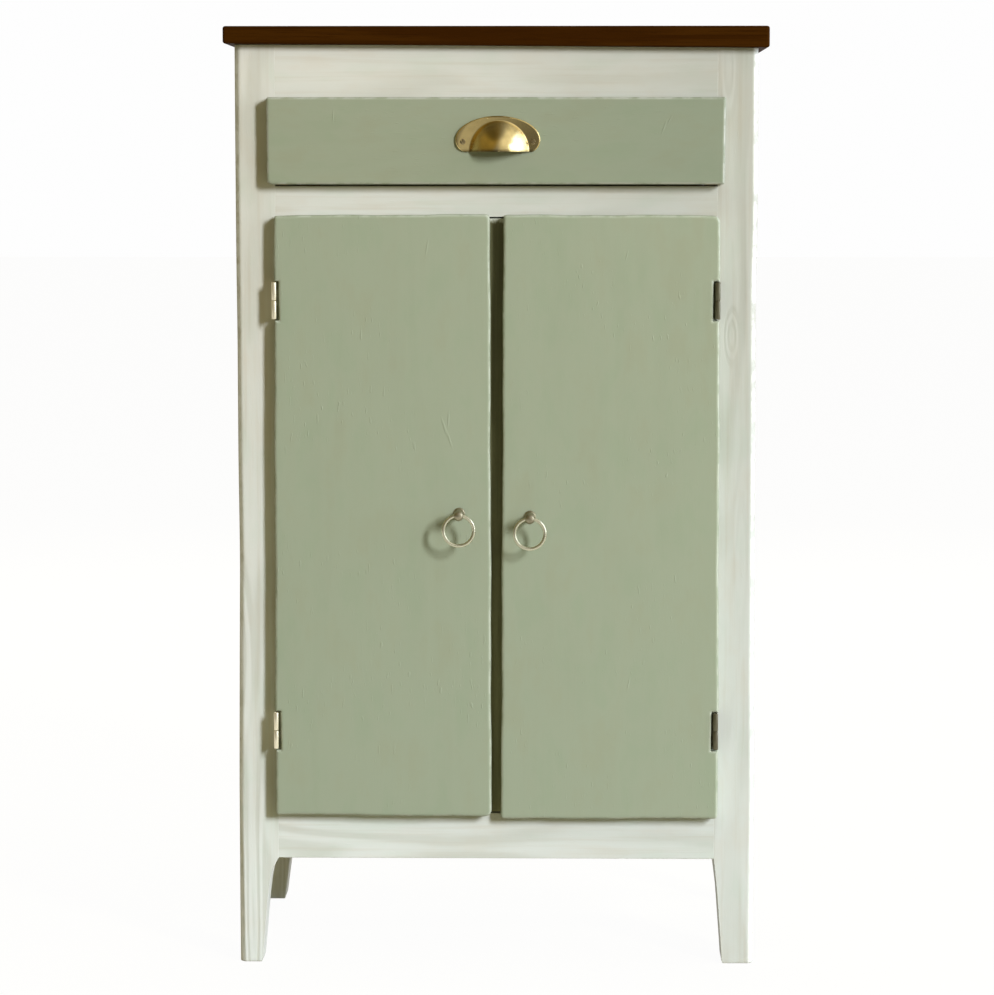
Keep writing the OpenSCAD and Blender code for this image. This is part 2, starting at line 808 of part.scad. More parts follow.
module frame_leaf(z) {
    low = [z - hinge_l / 2, z - knuckle_joint / 2];
    high = [z - knuckle_joint / 2, z + hinge_l / 2 + cut];
    difference() {
        union() {
            leaf_plate(frame_leaf_x, [hinge_y, frame_leaf_in], z, high);
            knuckle(low);
        }
        translate([hinge_x, hinge_y, z - hinge_l])
            cylinder(h = hinge_l, r = hinge_pin_r + press_gap);
        hinge_screw_places(z, frame_leaf_x, frame_screw_y)
            rotate([0, 90, 0]) screw_hole(hinge_screw_r, hinge_screw_l);
    }
}

// Distance of a door leaf's screws from its far edge
door_screw_in = 4.5;
door_screw_y = hinge_y + door_leaf_w - door_screw_in;

module door_leaf(z) {
    low = [z - hinge_l / 2 - cut, z + knuckle_joint / 2];
    high = [z + knuckle_joint / 2, z + hinge_l / 2];
    difference() {
        union() {
            leaf_plate(door_leaf_x, [hinge_y, hinge_y + door_leaf_w], z, low);
            knuckle(high);
        }
        translate([hinge_x, hinge_y, z - hinge_l])
            cylinder(h = 2 * hinge_l, r = hinge_pin_r + pin_gap);
        hinge_screw_places(z, door_leaf_x + leaf_t, door_screw_y)
            rotate([0, -90, 0]) screw_hole(hinge_screw_r, hinge_screw_l);
    }
}

module hinge_pin(z) {
    translate([hinge_x, hinge_y, z - hinge_l / 2]) cylinder(h = hinge_l - pin_short, r = hinge_pin_r);
}

module frame_leaf_screw_pair(z) {
    hinge_screw_places(z, frame_leaf_x, frame_screw_y)
        rotate([0, 90, 0]) screw(hinge_screw_r, hinge_screw_l);
}

module door_leaf_screw_pair(z) {
    hinge_screw_places(z, door_leaf_x + leaf_t, door_screw_y)
        rotate([0, -90, 0]) screw(hinge_screw_r, hinge_screw_l);
}

module right_upper_frame_leaf() { color([0.80, 0.70, 0.46]) placed() frame_leaf(upper_hinge_z); }
module right_lower_frame_leaf() { color([0.80, 0.70, 0.46]) placed() frame_leaf(lower_hinge_z); }
module left_upper_frame_leaf() {
    color([0.80, 0.70, 0.46]) placed() left_side() frame_leaf(upper_hinge_z);
}
module left_lower_frame_leaf() {
    color([0.80, 0.70, 0.46]) placed() left_side() frame_leaf(lower_hinge_z);
}
module right_upper_door_leaf() { color([0.80, 0.70, 0.46]) placed() door_leaf(upper_hinge_z); }
module right_lower_door_leaf() { color([0.80, 0.70, 0.46]) placed() door_leaf(lower_hinge_z); }
module left_upper_door_leaf() {
    color([0.80, 0.70, 0.46]) placed() left_side() door_leaf(upper_hinge_z);
}
module left_lower_door_leaf() {
    color([0.80, 0.70, 0.46]) placed() left_side() door_leaf(lower_hinge_z);
}

module hinge_pins() {
    color([0.72, 0.62, 0.40]) placed() for (z = [upper_hinge_z, lower_hinge_z]) {
        hinge_pin(z);
        left_side() hinge_pin(z);
    }
}

module frame_leaf_screws() {
    color([0.80, 0.70, 0.46]) placed() for (z = [upper_hinge_z, lower_hinge_z]) {
        frame_leaf_screw_pair(z);
        left_side() frame_leaf_screw_pair(z);
    }
}

module door_leaf_screws() {
    for (z = [upper_hinge_z, lower_hinge_z])
        door_leaf_screw_pair(z);
}

module right_door_leaf_screws() { color([0.80, 0.70, 0.46]) placed() door_leaf_screws(); }
module left_door_leaf_screws() { color([0.80, 0.70, 0.46]) placed() left_side() door_leaf_screws(); }

// Doors, right-hand

module hinge_notch(z) {
    side = [z - hinge_l / 2 - notch_room, z + hinge_l / 2 + notch_room];
    block([door_leaf_x, door_x + cut], [slab_front_y - cut, slab_back_y + cut], side);
    block([notch_deep_x, door_x + cut],
        [slab_front_y - cut, hinge_y + knuckle_r + notch_back_room], side);
}

module door_panel(meet_top, meet_foot, pull_x, pull_up) {
    difference() {
        along_y([slab_front_y, slab_back_y])
            polygon([[meet_foot, door_low_z], [door_x, door_low_z],
                [door_x, door_high_z], [meet_top, door_high_z]]);
        for (z = [upper_hinge_z, lower_hinge_z]) {
            hinge_notch(z);
            hinge_screw_places(z, door_leaf_x + leaf_t, door_screw_y)
                rotate([0, -90, 0]) screw_hole(hinge_screw_r, hinge_screw_l);
        }
        translate([pull_x, slab_back_y + cut, door_low_z + pull_up]) rotate([90, 0, 0])
            cylinder(h = slab_t + 2 * cut, r = shank_r + screw_gap);
        strike_pin(screw_gap);
    }
}

module right_door_panel() {
    color([0.62, 0.65, 0.55]) placed()
        door_panel(right_meet_top, right_meet_foot, right_pull_x, right_pull_up);
}

module left_door_panel() {
    color([0.62, 0.65, 0.55]) placed() left_side()
        door_panel(left_meet_top, left_meet_foot, left_pull_x, left_pull_up);
}

module right_strike_plate() { color([0.70, 0.70, 0.68]) placed() strike_plate(); }
module left_strike_plate() { color([0.70, 0.70, 0.68]) placed() left_side() strike_plate(); }

// Ring pulls, right-hand: a rose, a neck and a drilled ball in one piece, a nut behind the door, and the ring

ball_y = slab_front_y - ring_out;
// Thickness of the rose's plate, length of the cone on it and the plate's rim round the cone
rose_t = 2;
rose_cone_l = 3;
rose_rim = 1.2;
neck_r = 2.7;
// Nut: half its width across the corners, its thickness, and the washer's thickness and rim
nut_r = 4.6;
nut_t = 3.2;
washer_t = 0.8;
washer_rim = 1;
// Length of the shank behind the door
shank_past = 5;
// Height of the ring's wire over the axis of the ball's hole
ring_up = 0.3;

module ring_post(x, up) {
    translate([x, slab_front_y, door_low_z + up]) difference() {
        rotate([90, 0, 0]) {
            translate([0, 0, -slab_t - shank_past])
                cylinder(h = slab_t + shank_past + rose_t, r = shank_r);
            cylinder(h = rose_t, r = rose_r);
            translate([0, 0, rose_t]) cylinder(h = rose_cone_l, r1 = rose_r - rose_rim, r2 = neck_r);
            cylinder(h = ring_out, r = neck_r);
            translate([0, 0, ring_out]) sphere(ball_r);
        }
        translate([0, -ring_out, 0]) rotate([0, 90, 0])
            cylinder(h = 4 * ball_r, r = ball_hole_r, center = true);
    }
}

module ring_nut(x, up) {
    translate([x, slab_back_y, door_low_z + up]) rotate([-90, 0, 0]) difference() {
        union() {
            cylinder(h = washer_t, r = nut_r + washer_rim);
            translate([0, 0, washer_t]) cylinder(h = nut_t, r = nut_r, $fn = 6);
        }
        translate([0, 0, -cut]) cylinder(h = nut_t + washer_t + 2 * cut, r = shank_r + screw_gap);
    }
}

// The ring's wire passes through the ball a little above the middle of the hole, and the ring hangs below
module ring(x, up) {
    translate([x, ball_y, door_low_z + up + ring_up - ring_r]) rotate([90, 0, 0])
        rotate_extrude($fn = 72) translate([ring_r, 0]) circle(wire_r, $fn = 24);
}

module right_ring_post() { color([0.80, 0.74, 0.54]) placed() ring_post(right_pull_x, right_pull_up); }
module left_ring_post() {
    color([0.80, 0.74, 0.54]) placed() left_side() ring_post(left_pull_x, left_pull_up);
}
module right_ring_nut() { color([0.80, 0.70, 0.46]) placed() ring_nut(right_pull_x, right_pull_up); }
module left_ring_nut() {
    color([0.80, 0.70, 0.46]) placed() left_side() ring_nut(left_pull_x, left_pull_up);
}
module right_ring() { color([0.85, 0.80, 0.60]) placed() ring(right_pull_x, right_pull_up); }
module left_ring() { color([0.85, 0.80, 0.60]) placed() left_side() ring(left_pull_x, left_pull_up); }

top_board();
left_front_post();
right_front_post();
left_back_post();
right_back_post();
top_rail();
middle_rail();
bottom_rail();
centre_post();
left_side_panel();
right_side_panel();
left_upper_side_rail();
left_lower_side_rail();
right_upper_side_rail();
right_lower_side_rail();
back_panel();
upper_back_rail();
lower_back_rail();
floor_board();
shelf();
left_shelf_cleat();
right_shelf_cleat();
left_drawer_runner();
right_drawer_runner();
left_kicker();
right_kicker();
top_board_screws();
left_upper_frame_leaf();
left_lower_frame_leaf();
right_upper_frame_leaf();
right_lower_frame_leaf();
hinge_pins();
frame_leaf_screws();
left_catch();
right_catch();
drawer_front();
drawer_inner_front();
drawer_left_side();
drawer_right_side();
drawer_back();
drawer_bottom();
drawer_front_screws();
cup_pull();
cup_pull_screws();
left_door_panel();
left_upper_door_leaf();
left_lower_door_leaf();
left_door_leaf_screws();
left_ring_post();
left_ring_nut();
left_strike_plate();
right_door_panel();
right_upper_door_leaf();
right_lower_door_leaf();
right_door_leaf_screws();
right_ring_post();
right_ring_nut();
right_strike_plate();
left_ring();
right_ring();
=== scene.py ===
import math
import bmesh
import bpy
import mathutils
import numpy as np
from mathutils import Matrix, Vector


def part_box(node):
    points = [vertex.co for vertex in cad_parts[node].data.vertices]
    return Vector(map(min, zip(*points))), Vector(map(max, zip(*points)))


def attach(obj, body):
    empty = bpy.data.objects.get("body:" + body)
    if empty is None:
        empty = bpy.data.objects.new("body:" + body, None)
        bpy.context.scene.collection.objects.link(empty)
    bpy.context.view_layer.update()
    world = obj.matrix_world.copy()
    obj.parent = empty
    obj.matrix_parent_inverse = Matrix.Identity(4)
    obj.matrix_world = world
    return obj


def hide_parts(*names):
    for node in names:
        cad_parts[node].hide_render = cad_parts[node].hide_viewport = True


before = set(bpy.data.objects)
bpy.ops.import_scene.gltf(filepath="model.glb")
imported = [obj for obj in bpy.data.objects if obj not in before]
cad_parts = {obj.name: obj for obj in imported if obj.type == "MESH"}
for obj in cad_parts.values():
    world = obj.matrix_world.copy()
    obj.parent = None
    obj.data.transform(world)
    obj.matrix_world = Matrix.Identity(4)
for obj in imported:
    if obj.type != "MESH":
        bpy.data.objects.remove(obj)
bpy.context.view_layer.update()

# Frame: millimetres here, with y 0 on the face frame's front, and metres in the meshes
FRONT_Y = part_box("top_rail")[0][1]
MM = 0.001

# Carcase: x from the centre line, y from the front and z from the floor
OUT_X = 261.0  # posts' outer faces
IN_X = 221.8  # posts' inner faces
DEEP = 360.0
POST_D = 60.0
CHAMFER = 4.5
FOOT_R = 1.4
LEG_H = 108.0
RAIL_TOP = 154.8  # bottom rail's top
MID_Z = 760.1  # middle rail's underside
MID_TOP = 790.5
HEAD_Z = 874.5  # top rail's underside
TOP_Z = 932.0  # top board's underside
HIGH_Z = 950.0
TOP_HALF = 272.5
TOP_Y = (-14.0, 368.0)
FRAME_T = 22.0
BACK_RAIL_T = 20.0
BACK_Y = 354.0  # back panel's front
SIDE_X = (238.0, 258.0)  # side rails
PANEL_X = (244.0, 252.0)  # side panels
TONGUE = 6.5
SHELF_Z = 454.8  # shelf's top
SHELF_T = 15.0
SHELF_Y = 24.0
CLEAT_H = 24.0
BATTEN_W = 22.0
FLOOR_Z = (134.8, 149.8)
RUNNER_Z = 766.5  # runners' underside
KICKER_Z = 870.0  # kickers' underside
CENTRE_HALF = 15.0
FIT = 0.5

# Slabs
SLAB_BACK = -0.4
SLAB_FRONT = -18.4
FRONT_R = 3.0
BACK_R = 1.2
DOOR_Z = (153.3, 762.8)

# Drawer
DRAWER_Z = (792.7, 879.5)
BOX_OUT = 220.3
BOX_T = 12.0
BOX_IN = BOX_OUT - BOX_T
BOX_BACK = 310.0
BOX_Z = (792.4, 868.5)
BOX_BOTTOM = (796.8, 801.8)
INNER_FRONT_Z = 794.7

# Hinges
PIN_X = 222.1
PIN_Y = -18.9
PIN_R = 1.5
HINGE_Z = (676.8, 242.1)
HINGE_HALF = 18.5
LEAF_T = 1.2
LEAF_ROOT = 1.7  # from the pin's axis to the end of a leaf in its own knuckle's wall
LEAF_CLEAR = 3.4  # from the pin's axis to a leaf's edge beside the other knuckle
KNUCKLE_GAP = 0.15  # from the hinge's middle to each knuckle
FRAME_LEAF_X = 222.5
FRAME_LEAF_END = 16.0
FRAME_SCREW_Y = 8.0
DOOR_LEAF_X = 220.5
DOOR_LEAF_END = PIN_Y + 14.0
DOOR_SCREW_Y = PIN_Y + 9.5
LEAF_SCREW_UP = 11.0
HOUSING = 1.9
NOTCH_Y = -9.5

# Pulls
PULLS = {"left": (-36.7, 463.0), "right": (34.5, 460.0)}
RING_OUT = 26.0
RING_R = 15.2
RING_SEAT = 0.3
WIRE_R = 1.8
BALL_R = 5.2
BORE_R = 2.6
CUP_X = 2.2
CUP_Z = 825.1  # cup's lower edge
CUP_W = 84.6
CUP_H = 35.8
CUP_WALL = 1.6
LOBE = 12.0
DOME_R = 31.0
DOME_DEEP = 22.6
DOME_SHIFT = 1.4
DOME_TALL = 1.05
FLANGE_T = 1.4
FLANGE_RISE = 2.1
CUP_SCREW = (35.2, 10.0)


# Mesh making

GUARD = 0.5  # how near a rounded edge the last points of a flat stretch lie
AXIS_ORDER = {"x": (2, 0, 1), "y": (0, 2, 1), "z": (0, 1, 2)}
GRAIN_ORDER = {"x": (1, 2, 0), "y": (2, 0, 1), "z": (0, 1, 2)}


def unit(vectors):
    """Each row divided by its length."""
    return vectors / np.linalg.norm(vectors, axis=-1, keepdims=True)


def outline(corners, radii, inset=0.0, seg=5, step=25.0):
    """Ring round a polygon given anticlockwise. The polygon is moved inwards by inset along its mitres, and
    each corner Q becomes the curve Q + r((1 - t)^2 a + t^2 b), with a and b the directions to its two
    neighbours. A guard point lies beyond each end of the curve, and long stretches have more points."""
    polygon = np.asarray(corners, float)
    radii = np.broadcast_to(np.asarray(radii, float), (len(polygon),))
    length = np.linalg.norm(np.roll(polygon, -1, 0) - polygon, axis=1)
    ahead = unit(np.roll(polygon, -1, 0) - polygon)
    behind = np.roll(ahead, 1, 0)
    normal = np.stack([-ahead[:, 1], ahead[:, 0]], 1)
    before = np.roll(normal, 1, 0)
    turn = behind[:, 0] * ahead[:, 1] - behind[:, 1] * ahead[:, 0]
    moved = polygon + inset * (before + normal) / (1 + (before * normal).sum(1, keepdims=True))
    short = np.minimum(length, np.roll(length, 1))
    r = np.where(turn > 0, np.maximum(radii - inset, 0.12), radii + inset)
    r = np.minimum(r, 0.42 * short)
    reach = r + np.minimum(GUARD, np.minimum(r, 0.48 * short - r))
    t = np.linspace(0, 1, seg + 1)
    ring = []
    for i, corner in enumerate(moved):
        back = np.concatenate([[reach[i]], r[i] * (1 - t) ** 2, [0]])
        forth = np.concatenate([[0], r[i] * t ** 2, [reach[i]]])
        curve = corner - back[:, None] * behind[i] + forth[:, None] * ahead[i]
        ring.append(curve)
        more = int(length[i] // step)
        if more:
            j = (i + 1) % len(moved)
            end = moved[j] - reach[j] * ahead[i]
            share = np.linspace(0, 1, more + 2)[1:-1, None]
            ring.append(curve[-1] + share * (end - curve[-1]))
    return np.concatenate(ring)


def tube(rings, loop=False):
    """Quads between each ring and the next, from an array of rings x points x 3. Either a flat face closes
    each end, or the last ring joins the first."""
    count, size = rings.shape[:2]
    index = np.arange(count * size).reshape(count, size)
    ends = [] if loop else [index[0, ::-1].tolist(), index[-1].tolist()]
    if loop:
        index = np.concatenate([index, index[:1]])
    beside = np.roll(index, -1, 1)
    quads = np.stack([index[:-1], beside[:-1], beside[1:], index[1:]], -1).reshape(-1, 4).tolist()
    return rings.reshape(-1, 3), quads, ends


def edge_stations(low, high, r_low, r_high, seg=4):
    """Places along a prism and its outline's inset at each. Each end is a quarter round, with the inset
    r(1 - sin a) at the depth r(1 - cos a), and a guard ring at each side of it."""
    a = np.linspace(0, math.pi / 2, seg + 1)
    depth, inset = 1 - np.cos(a), 1 - np.sin(a)
    places = [[low], low + r_low * depth, [low + r_low + GUARD],
              [high - r_high - GUARD], high - r_high * depth[::-1], [high]]
    insets = [[r_low + GUARD], r_low * inset, [0, 0], r_high * inset[::-1], [r_high + GUARD]]
    return np.concatenate(places), np.concatenate(insets)


def turn_axes(points, axis):
    """Points given as (across, up, along), put on X, Y and Z for a prism along the named axis."""
    return points[..., AXIS_ORDER[axis]]


def prism(corners, radii, low, high, axis, ends=(1.0, 1.0), seg=5, step=25.0):
    """A polygon carried along an axis, with all its edges rounded."""
    places, insets = edge_stations(low, high, *ends)
    flat = np.stack([outline(corners, radii, inset, seg, step) for inset in insets])
    along = np.broadcast_to(places[:, None, None], flat.shape[:2] + (1,))
    return tube(turn_axes(np.concatenate([flat, along], 2), axis))


def board(x, y, z, axis, r=1.0, corner=None):
    """A rectangular board along an axis. Its ends' edges have the radius r, its long ones corner or r."""
    (a0, a1), (b0, b1) = {"x": (y, z), "y": (x, z), "z": (x, y)}[axis]
    low, high = {"x": x, "y": y, "z": z}[axis]
    square = [(a0, b0), (a1, b0), (a1, b1), (a0, b1)]
    return prism(square, corner or r, low, high, axis, (r, r))


def lathe(profile, centre, axis="z", turns=40, closed=False):
    """A profile of (radius, place along the axis) turned round the axis. A closed profile makes a ring."""
    radius, along = np.asarray(profile, float).T[:, :, None]
    a = np.linspace(0, 2 * math.pi, turns, endpoint=False)
    rings = np.stack(np.broadcast_arrays(radius * np.cos(a), radius * np.sin(a), along), 2)
    return tube(turn_axes(rings, axis) + np.asarray(centre, float), closed)


def joined(*parts):
    """Several closed surfaces as one mesh."""
    points, quads, ends = [], [], []
    base = 0
    for its_points, its_quads, its_ends in parts:
        points.append(its_points)
        quads += [[i + base for i in face] for face in its_quads]
        ends += [[i + base for i in face] for face in its_ends]
        base += len(its_points)
    return np.concatenate(points), quads, ends


def on_side(side, part):
    """A right-hand part as it is, or its mirror image across the centre line for the left."""
    points, quads, ends = part
    across = -1.0 if side == "left" else 1.0
    return points * np.array([across, 1.0, 1.0]), quads, ends


def read_vectors(rows, key):
    """A mesh's vectors as rows of three."""
    values = np.empty(len(rows) * 3, np.float32)
    rows.foreach_get(key, values)
    return values.reshape(-1, 3)


def add_attribute(mesh, name, kind, key, values):
    """An attribute with a value at each point."""
    mesh.attributes.new(name, kind, "POINT").data.foreach_set(key, values.astype(np.float32).ravel())


def piece(name, part, material, body, nodes, grain="z"):
    """Makes the mesh: outward faces, smooth sides and flat ends. The attribute grain holds the place in
    metres, with its third value along the wood's grain and a shift of its own for each piece. The attribute
    edge comes from 1 minus the normal's largest part: 0 where the surface faces squarely along an axis, and
    1 on a rounded edge."""
    points, quads, ends = part
    mesh = bpy.data.meshes.new(name)
    mesh.from_pydata((points * MM + np.array([0.0, FRONT_Y, 0.0])).tolist(), [], quads + ends)
    smooth = np.arange(len(quads) + len(ends)) < len(quads)
    mesh.polygons.foreach_set("use_smooth", smooth)
    bm = bmesh.new()
    bm.from_mesh(mesh)
    bmesh.ops.remove_doubles(bm, verts=bm.verts, dist=1e-6)
    bmesh.ops.recalc_face_normals(bm, faces=bm.faces)
    bm.to_mesh(mesh)
    bm.free()
    seed = sum(ord(letter) * (i + 1) for i, letter in enumerate(name))
    shift = np.random.default_rng(seed).uniform(-3, 3, 3)
    places = read_vectors(mesh.vertices, "co")[:, GRAIN_ORDER[grain]] + shift
    add_attribute(mesh, "grain", "FLOAT_VECTOR", "vector", places)
    square = np.abs(read_vectors(mesh.vertex_normals, "vector")).max(1)
    add_attribute(mesh, "edge", "FLOAT", "value", np.clip((1 - square) / 0.25, 0, 1))
    mesh.materials.append(material)
    obj = bpy.data.objects.new(name, mesh)
    bpy.context.scene.collection.objects.link(obj)
    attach(obj, body)
    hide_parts(*nodes)


# Materials

class Nodes:
    """Short calls for a node tree. Each gives a socket, apart from add and set."""

    def __init__(self, tree):
        self.tree = tree

    def add(self, kind, inputs=(), **settings):
        """A new node with its settings and inputs."""
        node = self.tree.nodes.new(kind)
        for key, value in settings.items():
            setattr(node, key, value)
        for key, value in dict(inputs).items():
            self.set(node, key, value)
        return node

    def set(self, node, key, value):
        """Links a socket to a node's input, or gives the input a value."""
        if isinstance(value, bpy.types.NodeSocket):
            self.tree.links.new(value, node.inputs[key])
        else:
            node.inputs[key].default_value = value

    def ramp(self, value, low, high, out_low=0.0, out_high=1.0):
        """A smooth step from out_low to out_high while the value goes from low to high."""
        return self.add("ShaderNodeMapRange", {"Value": value, "From Min": low, "From Max": high,
                                               "To Min": out_low, "To Max": out_high},
                        interpolation_type="SMOOTHSTEP").outputs[0]

    def math(self, operation, a, b=0.0, c=0.0):
        """An operation on up to three values."""
        return self.add("ShaderNodeMath", {0: a, 1: b, 2: c}, operation=operation).outputs[0]

    def axes(self, vector):
        """A vector's X, Y and Z."""
        return self.add("ShaderNodeSeparateXYZ", {"Vector": vector}).outputs

    def blend(self, fac, first, second):
        """Two shaders mixed."""
        return self.add("ShaderNodeMixShader", {0: fac, 1: first, 2: second}).outputs[0]


class Finish(Nodes):
    """A material that is being made."""

    def __init__(self, name):
        self.material = bpy.data.materials.new(name)
        self.material.use_nodes = True
        super().__init__(self.material.node_tree)
        self.shader = self.tree.nodes["Principled BSDF"]

    def attribute(self, name, output):
        """An attribute of the mesh."""
        return self.add("ShaderNodeAttribute", attribute_name=name).outputs[output]

    def grain(self, scale):
        """The grain attribute, stretched."""
        place = self.attribute("grain", "Vector")
        return self.add("ShaderNodeMapping", {"Vector": place, "Scale": scale}).outputs[0]

    def place(self, scale=(1.0, 1.0, 1.0)):
        """The place on the object in metres, stretched."""
        place = self.add("ShaderNodeTexCoord").outputs["Object"]
        return self.add("ShaderNodeMapping", {"Vector": place, "Scale": scale}).outputs[0]

    def noise(self, vector, scale=1.0, detail=4.0, rough=0.55):
        """Cloudy noise round 0.5."""
        return self.add("ShaderNodeTexNoise", {"Vector": vector, "Scale": scale, "Detail": detail,
                                               "Roughness": rough}).outputs["Fac"]

    def wave(self, vector, distortion, detail, detail_scale):
        """Straight bands, bent by noise."""
        return self.add("ShaderNodeTexWave", {"Vector": vector, "Scale": 1.0, "Distortion": distortion,
                                              "Detail": detail, "Detail Scale": detail_scale,
                                              "Detail Roughness": 0.55}).outputs["Fac"]

    def mix(self, fac, a, b, mode="MIX"):
        """Two colours mixed, or the second laid over the first in another mode."""
        node = self.add("ShaderNodeMix", data_type="RGBA", blend_type=mode)
        self.set(node, 0, fac)
        self.set(node, 6, a if isinstance(a, bpy.types.NodeSocket) else (*a, 1.0))
        self.set(node, 7, b if isinstance(b, bpy.types.NodeSocket) else (*b, 1.0))
        return node.outputs[2]

    def tint(self, fac, tone, colour):
        """A tone multiplied by a colour."""
        return self.mix(fac, tone, colour, "MULTIPLY")

    def bump(self, height, distance, strength=1.0, normal=None):
        """The normal of a relief that is distance metres high, on top of another normal."""
        node = self.add("ShaderNodeBump", {"Height": height, "Distance": distance, "Strength": strength})
        if normal is not None:
            self.set(node, "Normal", normal)
        return node.outputs[0]

    def oval(self, x, z, lean, half_x, half_z):
        """1 in the middle of a leaning oval on the front and 0 outside it. The oval is in millimetres."""
        away = self.add("ShaderNodeVectorMath", {0: self.place(), 1: (x * MM, 0.0, z * MM)},
                        operation="SUBTRACT").outputs[0]
        away = self.add("ShaderNodeMapping", {"Vector": away, "Rotation": (0.0, lean, 0.0),
                                              "Scale": (half_x * MM, 1000.0, half_z * MM)},
                        vector_type="TEXTURE").outputs[0]
        far = self.add("ShaderNodeVectorMath", {0: away}, operation="LENGTH").outputs["Value"]
        return self.ramp(far, 0.0, 1.0, 1.0, 0.0)

    def done(self, **values):
        """Sets the shader's inputs and gives the material."""
        for key, value in values.items():
            self.set(self.shader, key.replace("_", " "), value)
        return self.material


def wood_figure(m, knots):
    """Soft bands along the contours of a noise that is drawn out along the grain and pushed up at the knots.
    They are the sine of the noise times 62, and come and go over the board."""
    field = m.noise(m.grain((10.0, 10.0, 1.5)), 1.0, 2.0, 0.45)
    for x, z, half_x, half_z, push in knots:
        field = m.math("MULTIPLY_ADD", m.oval(x, z, 0.0, half_x, half_z), push, field)
    wander = m.noise(m.grain((55.0, 55.0, 9.0)), 1.0, 2.0)
    field = m.math("MULTIPLY_ADD", wander, 0.05, field)
    rings = m.ramp(m.math("SINE", m.math("MULTIPLY", field, 62.0)), -1.0, 1.0)
    strong = m.ramp(m.noise(m.grain((16.0, 16.0, 4.0)), 1.0, 1.0), 0.35, 0.62, 0.15, 1.0)
    return m.math("MULTIPLY", rings, strong)


def painted_wood(name, low, high, painted_shade_right, worn_and_lit_edge, roughness, figure, dabs, knots=(), nicks=()):
    """Brushed paint over wood. The tone goes from low to high with the height and takes on its right-hand
    tint towards the right; both are painted shade, darker towards the top and to the right where less light
    falls. The wood's figure and fibre stand through it, and clouds make it cooler or warmer. Along the
    rounded edges it is lightened, partly as wear and partly as a painted highlight on the edges. Dabs are
    short raised strokes, and nicks are single marks."""
    m = Finish(name)
    xyz = m.axes(m.place())
    # Painted shade: lighter low and darker high
    tone = m.mix(m.ramp(xyz["Z"], -0.1, 1.05), low, high)
    # Painted shade towards the upper right, by the right-hand tint
    right = m.math("MULTIPLY", m.ramp(xyz["X"], -0.2, 0.3), m.ramp(xyz["Z"], -0.6, 0.7))
    tone = m.tint(right, tone, painted_shade_right)
    band = wood_figure(m, knots)
    fibre = m.noise(m.grain((210.0, 210.0, 6.0)), 1.0, 3.0, 0.6)
    cloud = m.noise(m.grain((38.0, 38.0, 17.0)), 1.0, 3.0, 0.6)
    tone = m.tint(m.math("MULTIPLY", band, figure), tone, (0.84, 0.835, 0.80))
    tone = m.tint(m.ramp(fibre, 0.45, 0.75, 0.0, figure), tone, (0.93, 0.90, 0.86))
    tone = m.tint(m.ramp(cloud, 0.48, 0.70, 0.0, 0.6), tone, (0.93, 0.975, 0.94))
    tone = m.tint(m.ramp(cloud, 0.50, 0.30, 0.0, 0.6), tone, (0.985, 0.95, 0.92))
    # Lighter rounded edges: partly wear, partly a painted highlight
    rub_and_highlight = m.ramp(m.noise(m.place(), 75.0, 3.0), 0.36, 0.60, 0.1, 1.0)
    tone = m.mix(m.math("MULTIPLY", m.attribute("edge", "Fac"), rub_and_highlight), tone, worn_and_lit_edge)
    brush = m.noise(m.grain((620.0, 620.0, 60.0)), 1.0, 3.0, 0.65)
    spots = m.ramp(m.noise(m.grain((430.0, 430.0, 95.0)), 1.0, 1.0), 0.66, 0.76)
    where = m.ramp(m.noise(m.place(), 13.0, 1.0), 0.46, 0.60)
    relief = m.math("MULTIPLY", m.math("MULTIPLY", spots, where), dabs)
    relief = m.math("MULTIPLY_ADD", band, -figure, relief)
    relief = m.math("MULTIPLY_ADD", fibre, 0.5 * figure, relief)
    for x, z, lean, size in nicks:
        relief = m.math("ADD", relief, m.oval(x, z, lean, 1.5 * size, 13.0 * size))
    normal = m.bump(brush, 0.00004, 1.0, m.bump(relief, 0.0004, 0.7))
    sheen = m.ramp(brush, 0.3, 0.7, roughness - 0.06, roughness + 0.06)
    return m.done(Base_Color=tone, Roughness=sheen, Normal=normal, Specular_IOR_Level=0.35)


def shaded_gap_wood(name, low, high, smear_and_highlight):
    """The upright behind the doors' gap, painted dark as painted shade for the gap it stands in. It goes
    from low to high with the height, darker towards the top, also as painted shade. At its top there is a
    pale band, partly the frame's paint smeared there and partly a painted highlight of light from above."""
    m = Finish(name)
    height = m.axes(m.place())["Z"]
    ragged = m.noise(m.place((1.0, 1.0, 0.3)), 420.0, 2.0)
    edge = m.math("MULTIPLY_ADD", ragged, 0.007, height)
    fibre = m.noise(m.grain((300.0, 300.0, 8.0)), 1.0, 3.0)
    # Painted shade: darker towards the top
    tone = m.mix(m.ramp(height, 0.1, 0.75), low, high)
    tone = m.tint(m.ramp(fibre, 0.35, 0.7), tone, (0.80, 0.80, 0.78))
    # Pale top band: smeared frame paint and a painted highlight
    tone = m.mix(m.ramp(edge, 0.757, 0.7615), tone, smear_and_highlight)
    return m.done(Base_Color=tone, Roughness=m.ramp(fibre, 0.3, 0.7, 0.55, 0.7),
                  Normal=m.bump(fibre, 0.0001), Specular_IOR_Level=0.3)


